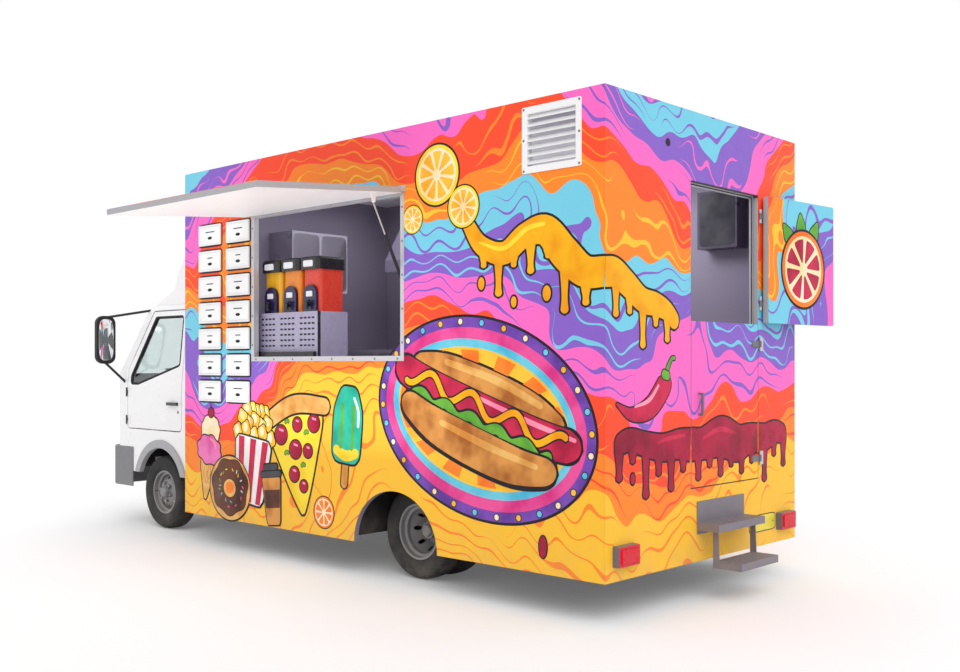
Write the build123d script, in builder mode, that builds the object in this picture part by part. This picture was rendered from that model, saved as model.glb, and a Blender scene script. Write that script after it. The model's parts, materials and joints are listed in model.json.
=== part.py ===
from build123d import *
import os
from math import atan2, cos, degrees, radians, sin, sqrt

os.makedirs("parts", exist_ok=True)

# Food truck: a box body with a serving hatch on a cab-over chassis with twin rear wheels.
# Millimetres. +Y is forward, +X the vehicle's right, +Z up.
# Sizes below are given forward from the box's rear face, across from the centreline and up from the ground.
# A left and right pair is made by a loop over SIDES, whose value is the sign of x.
SIDES = {"left": -1, "right": 1}

# Box body
BOX_WIDTH = 2200
BOX_LENGTH = 4200
BOX_BASE = 235
BOX_TOP = 2965
PANEL = 40
FLOOR_TOP = 680
FLOOR_THICK = 40
BEARER_DEPTH = 50
BEARER_WIDTH = 60
BEARER_PITCH = 680

# Wheels and tyres
TYRE_RADIUS = 317
TYRE_WIDTH = 178
RIM_RADIUS = 178
RIM_HALF = 62
BEAD_RADIUS = RIM_RADIUS + 0.3
TYRE_FACE = 900
TWIN_GAP = 30
HAND_HOLES = 8
REAR_AXLE = 1700
FRONT_OVERHANG = 850
FRONT_TYRE_FACE = 880
STEER_ANGLE = 32

# Serving hatch in the left wall, and its flap
HATCH_AHEAD = 950
HATCH_WIDTH = 1620
HATCH_SILL = 1485
HATCH_HEIGHT = 1045
FRAME_FLANGE = 30
FRAME_THICK = 4
FLAP_CLEAR = 6
FLAP_THICK = 40
FLAP_DROP = 1130
FLAP_OVERLAP = 45
FLAP_ANGLE = 85
HATCH_PIN_RISE = 26
HINGE_PIN = 5
HINGE_BARREL = 9
HINGE_KNUCKLE = 90
PIN_CLEAR = 0.05

# Stay of the flap
STAY_FOOT = 2000
STAY_EYE = 200
STAY_INSET = 50
STAY_BARREL_LENGTH = 300
STAY_INSERT = 60
STAY_BARREL = 11
STAY_ROD = 5
EYE_RADIUS = 10
EYE_BORE = 4.5

# Rear doorway and its two leaves
DOOR_LEFT = -235
DOOR_RIGHT = 590
DOOR_HEAD = 2545
DOOR_SPLIT = 1700
DOOR_GAP = 7
DOOR_PIN_OUT = 10
DOOR_ANGLE = 175
STOP_WIDTH = 20
STOP_THICK = 8

# Wheel arches of the box and wheel boxes in the floor
ARCH_HALF = 400
ARCH_RISE = 370
WELL_HALF = 400
WELL_TOP = 760
WELL_SKIN = 15
WELL_INNER = 470
WELL_SKIRT = 270

# Side vent
VENT_REAR = 170
VENT_WIDTH = 410
VENT_BASE = 2550
VENT_HEIGHT = 360
VENT_BORDER = 28
VENT_SLATS = 7

# Menu cards ahead of the hatch: two columns, measured back from the box's front
CARD_WIDTH = 300
CARD_HEIGHT = 160
CARD_THICK = 14
CARD_RIM = 12
CARD_COLUMNS = (370, 750)
CARD_ROWS = 7
CARD_LOW = 1222
CARD_PITCH = 204

# Tail lamps and rear steps
LAMP_WIDTH = 200
LAMP_HEIGHT = 118
LAMP_DEPTH = 46
LAMP_CENTRE = 375
LAMP_ACROSS = 930
STEP_WIDTH = 560
STEP_CENTRE = 112
STEP_INSET = 55
STEP_PLATE_BASE = 400
STEP_PLATE_TOP = 600
UPPER_TREAD_TOP = 470
UPPER_TREAD_DEPTH = 155
LOWER_TREAD_TOP = 245
LOWER_TREAD_DEPTH = 180
LOWER_TREAD_OUT = 275
TREAD_THICK = 45
STEP_ARM = 34

# Cab: lengths are measured back from its front
CAB_GAP = 60
CAB_LENGTH = 1510
CAB_WIDTH = 1760
CAB_BASE = 470
CAB_WAIST = 1240
CAB_ROOF = 1965
CAB_WALL = 40
CAB_LEAN = 70
CAB_BOW = 30
CAB_CORNER = 120
ROOF_CORNER = 75
NOSE_HEIGHT = 900
PILLAR_FOOT_BACK = 60
PILLAR_HEAD_BACK = 550
SCREEN_BORDER = 85
PLATFORM = 830
FOOTWELL = 640
FOOTWELL_LENGTH = 500
GLASS = 6
GLASS_INSET = 12
CAB_DOOR_REAR_BACK = 1160
CAB_DOOR_FRONT_BACK = 250
CAB_DOOR_SILL = 20
CAB_DOOR_DROP = 60
CAB_DOOR_GAP = 8
CAB_DOOR_ANGLE = 62
CAB_WINDOW_BORDER = 60
CAB_HINGES = (930, 1180)
CAB_KNUCKLE = 7
CAB_ARCH_FORWARD = 30
CAB_ARCH_HEIGHT = 340
CAB_ARCH_RADIUS = 430
FLARE_WIDTH = 70
FLARE_OUT = 15
BUMPER_OUT = 60
BUMPER_BASE = 330
BUMPER_HEIGHT = 360
LAMP_APART = 610
HEAD_LAMP_HEIGHT = 850
HEAD_LAMP_WIDTH = 230
HEAD_LAMP_DEPTH = 160
GRILLE_WIDTH = 720
GRILLE_BASE = 930
GRILLE_HEIGHT = 150
GRILLE_SLOTS = 4
MIRROR_OUT = 190
MIRROR_BACK = 160
MIRROR_HEIGHT = 430
MIRROR_WIDTH = 180
MIRROR_BASE = 1435
SEAT_APART = 400
SEAT_WIDTH = 480

# Chassis
RAIL_OUTER = 400
RAIL_FLANGE = 60
RAIL_BASE = 470
RAIL_TOP = FLOOR_TOP - FLOOR_THICK - BEARER_DEPTH
RAIL_WALL = 8
RAIL_REAR = 90
RAIL_FRONT_BACK = 110
SPRING_ACROSS = 370
SPRING_WIDTH = 60
KINGPIN = 640
KINGPIN_RADIUS = 13

# Kitchen
COUNTER_TOP = HATCH_SILL
BENCH_TOP = 1560
BENCH_DEPTH = 600
SLUSH_AHEAD = 965
SLUSH_PITCH = 235
SLUSH_BOWLS = 3
SLUSH_BACK = 280
SLUSH_BASE_HEIGHT = 330
SLUSH_BOWL_HEIGHT = 400

# Derived places
HALF_BOX = BOX_WIDTH / 2
HALF_CAB = CAB_WIDTH / 2
HATCH_FRONT = BOX_LENGTH - HATCH_AHEAD
HATCH_REAR = HATCH_FRONT - HATCH_WIDTH
HATCH_HEAD = HATCH_SILL + HATCH_HEIGHT
SLUSH_REAR = HATCH_REAR + SLUSH_AHEAD
CAB_REAR = BOX_LENGTH + CAB_GAP
CAB_FRONT = CAB_REAR + CAB_LENGTH
FRONT_AXLE = CAB_FRONT - FRONT_OVERHANG
PILLAR_FOOT = CAB_FRONT - PILLAR_FOOT_BACK
PILLAR_HEAD = CAB_FRONT - PILLAR_HEAD_BACK
FOOTWELL_REAR = CAB_FRONT - FOOTWELL_LENGTH
CAB_DOOR_REAR = CAB_FRONT - CAB_DOOR_REAR_BACK
CAB_DOOR_FRONT = CAB_FRONT - CAB_DOOR_FRONT_BACK
CAB_DOOR_BASE = PLATFORM + CAB_DOOR_SILL
CAB_DOOR_HEAD = CAB_ROOF - CAB_DOOR_DROP
CAB_ARCH_CENTRE = FRONT_AXLE + CAB_ARCH_FORWARD
RAIL_FRONT = CAB_FRONT - RAIL_FRONT_BACK
HATCH_PIN_X = -(HALF_BOX + FRAME_THICK + FLAP_CLEAR + FLAP_THICK / 2)
HATCH_PIN_Z = HATCH_HEAD + HATCH_PIN_RISE
DOOR_PIN_X = DOOR_RIGHT + 10
LEAF_WIDTH = DOOR_RIGHT - DOOR_LEFT - 2 * DOOR_GAP
REAR_OUTER = TYRE_FACE - TYRE_WIDTH / 2
REAR_INNER = REAR_OUTER - TYRE_WIDTH - TWIN_GAP
REAR_MIDDLE = (REAR_OUTER + REAR_INNER) / 2
FRONT_MIDDLE = FRONT_TYRE_FACE - TYRE_WIDTH / 2
BUMPER_FRONT = CAB_FRONT + BUMPER_OUT
WALL_INSIDE = HALF_BOX - PANEL
SLUSH_BASE_TOP = COUNTER_TOP + SLUSH_BASE_HEIGHT
SLUSH_BOWL_TOP = SLUSH_BASE_TOP + SLUSH_BOWL_HEIGHT
CAB_HINGE_X = HALF_CAB + 11
CAB_HINGE_Y = CAB_DOOR_FRONT - CAB_DOOR_GAP / 2
REACH_LEFT = -HATCH_PIN_X + FLAP_DROP * sin(radians(FLAP_ANGLE))
REACH_RIGHT = DOOR_PIN_X + LEAF_WIDTH + 15
# The part's origin is on the ground, below the middle of everything at rest.
MID_X = (REACH_LEFT - REACH_RIGHT) / 2
REAR_Y = -(BUMPER_FRONT - LOWER_TREAD_OUT) / 2


# The hatch flap and its stay, in a plane across the vehicle
def flap_point(along, out, angle=FLAP_ANGLE):
    """Across and up of a point given down the closed flap and out from its mid-plane."""
    turn = radians(angle)
    x = HATCH_PIN_X - along * sin(turn) - out * cos(turn)
    z = HATCH_PIN_Z - along * cos(turn) + out * sin(turn)
    return x, z


def stay_to(angle):
    """The stay's length and its lean to the left, in degrees, with the flap at an angle."""
    eye_x, eye_z = flap_point(STAY_EYE, -FLAP_THICK / 2 - STAY_INSET, angle)
    out, up = STAY_FOOT_X - eye_x, eye_z - STAY_FOOT
    return sqrt(out**2 + up**2), degrees(atan2(out, up))


STAY_FOOT_X = -HALF_BOX + PANEL / 2
EAR_REAR = HATCH_REAR + FRAME_THICK + 6
EAR_THICK = 6
STAY_Y = EAR_REAR + EAR_THICK + 7
STAY_LENGTH, STAY_LEAN = stay_to(FLAP_ANGLE)
STAY_CLOSED, STAY_CLOSED_LEAN = stay_to(0)
STAY_STROKE = STAY_LENGTH - STAY_CLOSED
STAY_SWING = STAY_LEAN - STAY_CLOSED_LEAN
STAY_OUT = -sin(radians(STAY_LEAN))
STAY_UP = cos(radians(STAY_LEAN))


# Planes and simple forms
def at(x, y, z):
    """A point given across, forward and up, in the part's frame."""
    return (MID_X + x, REAR_Y + y, z)


def across(y):
    """Upright plane across the vehicle at y, drawn as x and z; it extrudes to the rear."""
    return Plane(origin=at(0, y, 0), x_dir=(1, 0, 0), z_dir=(0, -1, 0))


def lengthwise(x):
    """Upright plane along the vehicle at x, drawn as y and z; it extrudes to the right."""
    return Plane(origin=at(x, 0, 0), x_dir=(0, 1, 0), z_dir=(1, 0, 0))


def level(z):
    """Level plane at z, drawn as x and y; it extrudes upwards."""
    return Plane(origin=at(0, 0, z), x_dir=(1, 0, 0), z_dir=(0, 0, 1))


def block(x, y, z, mode=Mode.ADD):
    """A box between two values along each direction."""
    centre = at(sum(x) / 2, sum(y) / 2, sum(z) / 2)
    with Locations(centre):
        Box(abs(x[1] - x[0]), abs(y[1] - y[0]), abs(z[1] - z[0]), mode=mode)


def rod(start, end, radius, mode=Mode.ADD):
    """A round bar between two points."""
    first, last = Vector(*at(*start)), Vector(*at(*end))
    with BuildSketch(Plane(origin=first, z_dir=last - first)) as section:
        Circle(radius)
    extrude(section.sketch, amount=(last - first).length, mode=mode)


def rectangle(u, v, radius=0, mode=Mode.ADD):
    """A rectangle between two values along each direction of the sketch, its corners rounded."""
    with Locations(((u[0] + u[1]) / 2, (v[0] + v[1]) / 2)):
        if radius:
            RectangleRounded(u[1] - u[0], v[1] - v[0], radius, mode=mode)
        else:
            Rectangle(u[1] - u[0], v[1] - v[0], mode=mode)


def write(piece, name):
    """Label a finished piece and write its file."""
    piece.part.label = name
    export_step(piece.part, f"parts/{name}.step")


# Box body walls: the side walls and the rear wall meet in mitres at the rear corners
def side_wall(side):
    """A side wall of the box with its wheel arch; the left one has the hatch and vent openings."""
    with BuildPart() as wall:
        with BuildSketch(level(BOX_BASE)):
            with BuildLine():
                Polyline(
                    (side * HALF_BOX, 0),
                    (side * HALF_BOX, BOX_LENGTH),
                    (side * (HALF_BOX - PANEL), BOX_LENGTH),
                    (side * (HALF_BOX - PANEL), PANEL),
                    close=True,
                )
            make_face()
        extrude(amount=BOX_TOP - BOX_BASE)
        with BuildSketch(lengthwise(side * (HALF_BOX - PANEL / 2))):
            with Locations((REAR_AXLE, BOX_BASE)):
                Ellipse(ARCH_HALF, ARCH_RISE)
            if side < 0:
                rectangle((HATCH_REAR, HATCH_FRONT), (HATCH_SILL, HATCH_HEAD))
                rectangle((VENT_REAR, VENT_REAR + VENT_WIDTH), (VENT_BASE, VENT_BASE + VENT_HEIGHT))
        extrude(amount=PANEL, both=True, mode=Mode.SUBTRACT)
    return wall


for name, side in SIDES.items():
    write(side_wall(side), f"{name}_wall")

with BuildPart() as rear_wall:
    with BuildSketch(level(BOX_BASE)):
        with BuildLine():
            Polyline(
                (-HALF_BOX, 0),
                (HALF_BOX, 0),
                (HALF_BOX - PANEL, PANEL),
                (PANEL - HALF_BOX, PANEL),
                close=True,
            )
        make_face()
    extrude(amount=BOX_TOP - BOX_BASE)
    with BuildSketch(across(PANEL / 2)):
        rectangle((DOOR_LEFT, DOOR_RIGHT), (FLOOR_TOP, DOOR_HEAD))
    extrude(amount=PANEL, both=True, mode=Mode.SUBTRACT)
write(rear_wall, "rear_wall")

FLOOR_UNDER = FLOOR_TOP - FLOOR_THICK

with BuildPart() as front_wall:
    block((-WALL_INSIDE, WALL_INSIDE), (BOX_LENGTH - PANEL, BOX_LENGTH), (FLOOR_UNDER, BOX_TOP))
write(front_wall, "front_wall")

with BuildPart() as roof_panel:
    block((-WALL_INSIDE, WALL_INSIDE), (PANEL, BOX_LENGTH - PANEL), (BOX_TOP - PANEL, BOX_TOP))
write(roof_panel, "roof_panel")

# Floor with its cross bearers, and a wheel box over each pair of rear wheels, its ends hung low as boards
with BuildPart() as floor_pan:
    block((-WALL_INSIDE, WALL_INSIDE), (PANEL, BOX_LENGTH - PANEL), (FLOOR_UNDER, FLOOR_TOP))
    bearer_count = int((BOX_LENGTH - 2 * PANEL - BEARER_WIDTH) // BEARER_PITCH) + 1
    for i in range(bearer_count):
        middle = BOX_LENGTH / 2 + (i - (bearer_count - 1) / 2) * BEARER_PITCH
        if abs(middle - REAR_AXLE) > WELL_HALF + BEARER_WIDTH:
            reach = (middle - BEARER_WIDTH / 2, middle + BEARER_WIDTH / 2)
            block((-WALL_INSIDE, WALL_INSIDE), reach, (RAIL_TOP, FLOOR_UNDER))
    for side in SIDES.values():
        well_y = (REAR_AXLE - WELL_HALF, REAR_AXLE + WELL_HALF)
        skin_y = (well_y[0] - WELL_SKIN, well_y[1] + WELL_SKIN)
        block((side * (WELL_INNER - WELL_SKIN), side * WALL_INSIDE), skin_y, (FLOOR_UNDER, WELL_TOP))
        well_z = (FLOOR_UNDER - 1, WELL_TOP - WELL_SKIN)
        block((side * WELL_INNER, side * WALL_INSIDE), well_y, well_z, mode=Mode.SUBTRACT)
        for board_y in ((skin_y[0], well_y[0]), (well_y[1], skin_y[1])):
            board_x = (side * (WELL_INNER - WELL_SKIN), side * WALL_INSIDE)
            block(board_x, board_y, (WELL_SKIRT, FLOOR_UNDER + 1))
write(floor_pan, "floor_pan")

# Aluminium frame of the hatch: a flange on the outside and a lining through the wall
with BuildPart() as hatch_frame:
    opening_y = (HATCH_REAR, HATCH_FRONT)
    opening_z = (HATCH_SILL, HATCH_HEAD)
    inner_y = (HATCH_REAR + FRAME_THICK, HATCH_FRONT - FRAME_THICK)
    inner_z = (HATCH_SILL + FRAME_THICK, HATCH_HEAD - FRAME_THICK)
    flange_y = (HATCH_REAR - FRAME_FLANGE, HATCH_FRONT + FRAME_FLANGE)
    flange_z = (HATCH_SILL - FRAME_FLANGE, HATCH_HEAD + FRAME_FLANGE - HINGE_BARREL)
    with BuildSketch(lengthwise(-HALF_BOX - FRAME_THICK)):
        rectangle(flange_y, flange_z)
        rectangle(inner_y, inner_z, mode=Mode.SUBTRACT)
    extrude(amount=FRAME_THICK)
    with BuildSketch(lengthwise(-HALF_BOX)):
        rectangle(opening_y, opening_z)
        rectangle(inner_y, inner_z, mode=Mode.SUBTRACT)
    extrude(amount=PANEL)
write(hatch_frame, "hatch_frame")


# Hatch flap: a panel on a full length hinge, open at rest
FLAP_START = HINGE_BARREL + 4
HINGE_REAR = HATCH_REAR - FLAP_OVERLAP
HINGE_FRONT = HATCH_FRONT + FLAP_OVERLAP
KNUCKLE_COUNT = int((HINGE_FRONT - HINGE_REAR) // HINGE_KNUCKLE)
KNUCKLE = (HINGE_FRONT - HINGE_REAR) / KNUCKLE_COUNT

with BuildPart() as hatch_flap:
    corners = [
        (FLAP_START, -FLAP_THICK / 2),
        (FLAP_DROP, -FLAP_THICK / 2),
        (FLAP_DROP, FLAP_THICK / 2),
        (FLAP_START, FLAP_THICK / 2),
    ]
    with BuildSketch(across(HINGE_FRONT)):
        with BuildLine():
            Polyline(*[flap_point(*corner) for corner in corners], close=True)
        make_face()
    extrude(amount=HINGE_FRONT - HINGE_REAR)
    # Knuckles stand on the flap's upper edge, every second one along the pin
    for i in range(1, KNUCKLE_COUNT, 2):
        with BuildSketch(across(HINGE_REAR + (i + 1) * KNUCKLE - 0.5)):
            with Locations((HATCH_PIN_X, HATCH_PIN_Z)):
                Circle(HINGE_BARREL)
            with BuildLine():
                Polyline(
                    flap_point(0, -3),
                    flap_point(FLAP_START + 1, -3),
                    flap_point(FLAP_START + 1, 3),
                    flap_point(0, 3),
                    close=True,
                )
            make_face()
            with Locations((HATCH_PIN_X, HATCH_PIN_Z)):
                Circle(HINGE_PIN + PIN_CLEAR, mode=Mode.SUBTRACT)
        extrude(amount=KNUCKLE - 1)
    # Ear that carries the stay's upper end
    with BuildSketch(across(EAR_REAR + EAR_THICK)):
        with BuildLine():
            Polyline(
                flap_point(STAY_EYE - 24, -FLAP_THICK / 2),
                flap_point(STAY_EYE + 24, -FLAP_THICK / 2),
                flap_point(STAY_EYE + 10, -FLAP_THICK / 2 - STAY_INSET - 10),
                flap_point(STAY_EYE - 10, -FLAP_THICK / 2 - STAY_INSET - 10),
                close=True,
            )
        make_face()
    extrude(amount=EAR_THICK)
write(hatch_flap, "hatch_flap")

# Fixed half of the hatch hinge: leaf on the wall, knuckles and the pin
with BuildPart() as hatch_hinge:
    leaf_z = (flange_z[1], HATCH_PIN_Z + 34)
    block((-HALF_BOX - FRAME_THICK, -HALF_BOX), (HINGE_REAR, HINGE_FRONT), leaf_z)
    for i in range(0, KNUCKLE_COUNT, 2):
        with BuildSketch(across(HINGE_REAR + (i + 1) * KNUCKLE - 0.5)):
            with Locations((HATCH_PIN_X, HATCH_PIN_Z)):
                Circle(HINGE_BARREL)
            rectangle((HATCH_PIN_X, -HALF_BOX - 1), (HATCH_PIN_Z - 3, HATCH_PIN_Z + 3))
        extrude(amount=KNUCKLE - 1)
    rod((HATCH_PIN_X, HINGE_REAR, HATCH_PIN_Z), (HATCH_PIN_X, HINGE_FRONT, HATCH_PIN_Z), HINGE_PIN)
    # Foot bracket of the stay on the frame's rear jamb, with its ball stud
    bracket_y = (HATCH_REAR + FRAME_THICK, EAR_REAR)
    block((STAY_FOOT_X - 14, STAY_FOOT_X + 14), bracket_y, (STAY_FOOT - 30, STAY_FOOT + 30))
    rod((STAY_FOOT_X, bracket_y[1], STAY_FOOT), (STAY_FOOT_X, STAY_Y + 7, STAY_FOOT), EYE_BORE - PIN_CLEAR)
write(hatch_hinge, "hatch_hinge")

# Stay: a gas strut from the rear jamb of the hatch to the flap
EYE_X, EYE_Z = flap_point(STAY_EYE, -FLAP_THICK / 2 - STAY_INSET)


def along_stay(distance):
    """A point on the stay's line at rest."""
    return (STAY_FOOT_X + STAY_OUT * distance, STAY_Y, STAY_FOOT + STAY_UP * distance)


with BuildPart() as stay_barrel:
    rod(along_stay(14), along_stay(STAY_BARREL_LENGTH), STAY_BARREL)
    bore_start = along_stay(STAY_BARREL_LENGTH - STAY_INSERT - STAY_STROKE - 5)
    rod(bore_start, along_stay(STAY_BARREL_LENGTH + 1), STAY_ROD + 0.3, mode=Mode.SUBTRACT)
    rod((STAY_FOOT_X, STAY_Y - 5, STAY_FOOT), (STAY_FOOT_X, STAY_Y + 5, STAY_FOOT), EYE_RADIUS)
    rod(along_stay(0), along_stay(20), 6)
    eye_ends = [(STAY_FOOT_X, STAY_Y + half, STAY_FOOT) for half in (-6, 6)]
    rod(*eye_ends, EYE_BORE, mode=Mode.SUBTRACT)
write(stay_barrel, "stay_barrel")

with BuildPart() as stay_rod:
    rod(along_stay(STAY_BARREL_LENGTH - STAY_INSERT), along_stay(STAY_LENGTH - 6), STAY_ROD)
    rod((EYE_X, STAY_Y - 5, EYE_Z), (EYE_X, STAY_Y + 5, EYE_Z), EYE_RADIUS)
write(stay_rod, "stay_rod")

# Louvre of the side vent: a bordered frame with sloping slats
with BuildPart() as side_vent:
    vent_y = (VENT_REAR, VENT_REAR + VENT_WIDTH)
    vent_z = (VENT_BASE, VENT_BASE + VENT_HEIGHT)
    clear_y = (vent_y[0] + VENT_BORDER, vent_y[1] - VENT_BORDER)
    clear_z = (vent_z[0] + VENT_BORDER, vent_z[1] - VENT_BORDER)
    with BuildSketch(lengthwise(-HALF_BOX - 6)):
        rectangle((vent_y[0] - 12, vent_y[1] + 12), (vent_z[0] - 12, vent_z[1] + 12), radius=10)
        rectangle(clear_y, clear_z, mode=Mode.SUBTRACT)
    extrude(amount=6)
    with BuildSketch(lengthwise(-HALF_BOX)):
        rectangle(vent_y, vent_z)
        rectangle(clear_y, clear_z, mode=Mode.SUBTRACT)
    extrude(amount=PANEL)
    slat_pitch = (clear_z[1] - clear_z[0]) / VENT_SLATS
    for i in range(VENT_SLATS):
        slat_top = clear_z[0] + (i + 1) * slat_pitch - 6
        with BuildSketch(across(clear_y[1] + 1)):
            with BuildLine():
                Polyline(
                    (-HALF_BOX - 3, slat_top - slat_pitch * 0.62),
                    (-HALF_BOX + 24, slat_top),
                    (-HALF_BOX + 24, slat_top + 4),
                    (-HALF_BOX - 3, slat_top - slat_pitch * 0.62 + 4),
                    close=True,
                )
            make_face()
        extrude(amount=clear_y[1] - clear_y[0] + 2)
write(side_vent, "side_vent")

# Menu cards: shallow trays screwed to the left wall
with BuildPart() as menu_cards:
    for back in CARD_COLUMNS:
        column = BOX_LENGTH - back
        for row in range(CARD_ROWS):
            card_y = (column - CARD_WIDTH / 2, column + CARD_WIDTH / 2)
            middle = CARD_LOW + row * CARD_PITCH
            card_z = (middle - CARD_HEIGHT / 2, middle + CARD_HEIGHT / 2)
            with BuildSketch(lengthwise(-HALF_BOX - CARD_THICK)):
                rectangle(card_y, card_z, radius=8)
            extrude(amount=CARD_THICK)
            with BuildSketch(lengthwise(-HALF_BOX - CARD_THICK)):
                face_y = (card_y[0] + CARD_RIM, card_y[1] - CARD_RIM)
                face_z = (card_z[0] + CARD_RIM, card_z[1] - CARD_RIM)
                rectangle(face_y, face_z)
            extrude(amount=CARD_THICK / 2, mode=Mode.SUBTRACT)
write(menu_cards, "menu_cards")

# Door frame: a stop behind the doorway, on the rear wall's inner face
with BuildPart() as door_frame:
    with BuildSketch(across(PANEL + DOOR_GAP + 1)):
        rectangle((DOOR_LEFT - STOP_WIDTH, DOOR_RIGHT + STOP_WIDTH), (FLOOR_TOP, DOOR_HEAD + STOP_WIDTH))
        rectangle((DOOR_LEFT, DOOR_RIGHT), (FLOOR_TOP - 1, DOOR_HEAD), mode=Mode.SUBTRACT)
    extrude(amount=DOOR_GAP + 1)
    with BuildSketch(across(PANEL + DOOR_GAP + 1 + STOP_THICK)):
        rectangle((DOOR_LEFT - STOP_WIDTH, DOOR_RIGHT + STOP_WIDTH), (FLOOR_TOP, DOOR_HEAD + STOP_WIDTH))
        inner_x = (DOOR_LEFT + STOP_WIDTH, DOOR_RIGHT - STOP_WIDTH)
        rectangle(inner_x, (FLOOR_TOP - 1, DOOR_HEAD - STOP_WIDTH), mode=Mode.SUBTRACT)
    extrude(amount=STOP_THICK)
write(door_frame, "door_frame")


# Rear door leaves on outside hinges at the right
def rear_leaf(low, high, angle):
    """A leaf of the rear door between two heights, with its hinge straps, opened by an angle."""
    with BuildPart() as leaf:
        with BuildSketch(across(PANEL)):
            rectangle((DOOR_LEFT + DOOR_GAP, DOOR_RIGHT - DOOR_GAP), (low, high), radius=12)
        extrude(amount=PANEL)
        for hinge_z in (low + 130, high - 130):
            leaf_z = (hinge_z - 20, hinge_z + 20)
            block((DOOR_RIGHT - 90, DOOR_PIN_X), (-DOOR_PIN_OUT + 3, -DOOR_PIN_OUT + 7), leaf_z)
            block((DOOR_RIGHT - 90, DOOR_RIGHT - 40), (-DOOR_PIN_OUT + 6, 0), (hinge_z - 20, hinge_z + 20))
            rod((DOOR_PIN_X, -DOOR_PIN_OUT, hinge_z - 20), (DOOR_PIN_X, -DOOR_PIN_OUT, hinge_z + 20), 8)
            low_end, high_end = hinge_z - 21, hinge_z + 21
            bore = 5 + PIN_CLEAR
            start, end = (DOOR_PIN_X, -DOOR_PIN_OUT, low_end), (DOOR_PIN_X, -DOOR_PIN_OUT, high_end)
            rod(start, end, bore, mode=Mode.SUBTRACT)
        # Grab handle near the free edge
        grip_x = DOOR_LEFT + 90
        grip_z = (low + high) / 2
        with BuildSketch(lengthwise(grip_x - 8)):
            rectangle((-34, 0), (grip_z - 70, grip_z + 70), radius=8)
            rectangle((-22, 1), (grip_z - 56, grip_z + 56), mode=Mode.SUBTRACT)
        extrude(amount=16)
    pin = Axis(at(DOOR_PIN_X, -DOOR_PIN_OUT, 0), (0, 0, 1))
    leaf.part = leaf.part.rotate(pin, angle)
    return leaf


upper_leaf = rear_leaf(DOOR_SPLIT + DOOR_GAP / 2, DOOR_HEAD - DOOR_GAP, DOOR_ANGLE)
write(upper_leaf, "rear_door_upper")
lower_leaf = rear_leaf(FLOOR_TOP + DOOR_GAP, DOOR_SPLIT - DOOR_GAP / 2, 0)
write(lower_leaf, "rear_door_lower")

# Fixed halves of the rear door hinges: a plate, a knuckle each side of the leaf's, and the pin
with BuildPart() as door_hinges:
    leaf_spans = (
        (FLOOR_TOP + DOOR_GAP, DOOR_SPLIT - DOOR_GAP / 2),
        (DOOR_SPLIT + DOOR_GAP / 2, DOOR_HEAD - DOOR_GAP),
    )
    for low, high in leaf_spans:
        for hinge_z in (low + 130, high - 130):
            block((DOOR_PIN_X + 10, DOOR_PIN_X + 50), (-3, 0), (hinge_z - 45, hinge_z + 45))
            for knuckle_z in (hinge_z - 33, hinge_z + 33):
                start = (DOOR_PIN_X, -DOOR_PIN_OUT, knuckle_z - 12)
                end = (DOOR_PIN_X, -DOOR_PIN_OUT, knuckle_z + 12)
                rod(start, end, 8)
                block((DOOR_PIN_X, DOOR_PIN_X + 12), (-DOOR_PIN_OUT, -1), (knuckle_z - 12, knuckle_z + 12))
            start, end = (DOOR_PIN_X, -DOOR_PIN_OUT, hinge_z - 45), (DOOR_PIN_X, -DOOR_PIN_OUT, hinge_z + 45)
            rod(start, end, 5)
write(door_hinges, "door_hinges")

# Rear steps: a plate on the rear wall, an upper tread, two arms and a lower tread
with BuildPart() as rear_steps:
    step_x = (STEP_CENTRE - STEP_WIDTH / 2, STEP_CENTRE + STEP_WIDTH / 2)
    block(step_x, (-6, 0), (STEP_PLATE_BASE, STEP_PLATE_TOP))
    block(step_x, (-UPPER_TREAD_DEPTH, 0), (UPPER_TREAD_TOP - TREAD_THICK, UPPER_TREAD_TOP))
    lower_x = (step_x[0] + STEP_INSET, step_x[1] - STEP_INSET)
    lower_y = (-LOWER_TREAD_OUT, -LOWER_TREAD_OUT + LOWER_TREAD_DEPTH)
    block(lower_x, lower_y, (LOWER_TREAD_TOP - TREAD_THICK, LOWER_TREAD_TOP))
    for side in (0, 1):
        arm_x = lower_x[side]
        with BuildSketch(lengthwise(arm_x - 3)):
            with BuildLine():
                Polyline(
                    (-UPPER_TREAD_DEPTH + 40, UPPER_TREAD_TOP - 10),
                    (-UPPER_TREAD_DEPTH + 40 + STEP_ARM, UPPER_TREAD_TOP - 10),
                    (-UPPER_TREAD_DEPTH + 40 + STEP_ARM, LOWER_TREAD_TOP - TREAD_THICK),
                    (-LOWER_TREAD_OUT + 10, LOWER_TREAD_TOP - TREAD_THICK),
                    (-LOWER_TREAD_OUT + 10, LOWER_TREAD_TOP - 6),
                    (-UPPER_TREAD_DEPTH + 30, LOWER_TREAD_TOP - 6),
                    close=True,
                )
            make_face()
        extrude(amount=6)
write(rear_steps, "rear_steps")

# Tail lamps: a tapered housing with a raised lens
with BuildPart() as tail_lamps:
    for side in SIDES.values():
        with BuildSketch(across(0)):
            with Locations((side * LAMP_ACROSS, LAMP_CENTRE)):
                RectangleRounded(LAMP_WIDTH, LAMP_HEIGHT, 10)
        extrude(amount=LAMP_DEPTH, taper=4)
        with BuildSketch(across(-LAMP_DEPTH)):
            with Locations((side * LAMP_ACROSS, LAMP_CENTRE)):
                RectangleRounded(LAMP_WIDTH - 40, LAMP_HEIGHT - 40, 8)
        extrude(amount=8)
write(tail_lamps, "tail_lamps")

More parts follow.
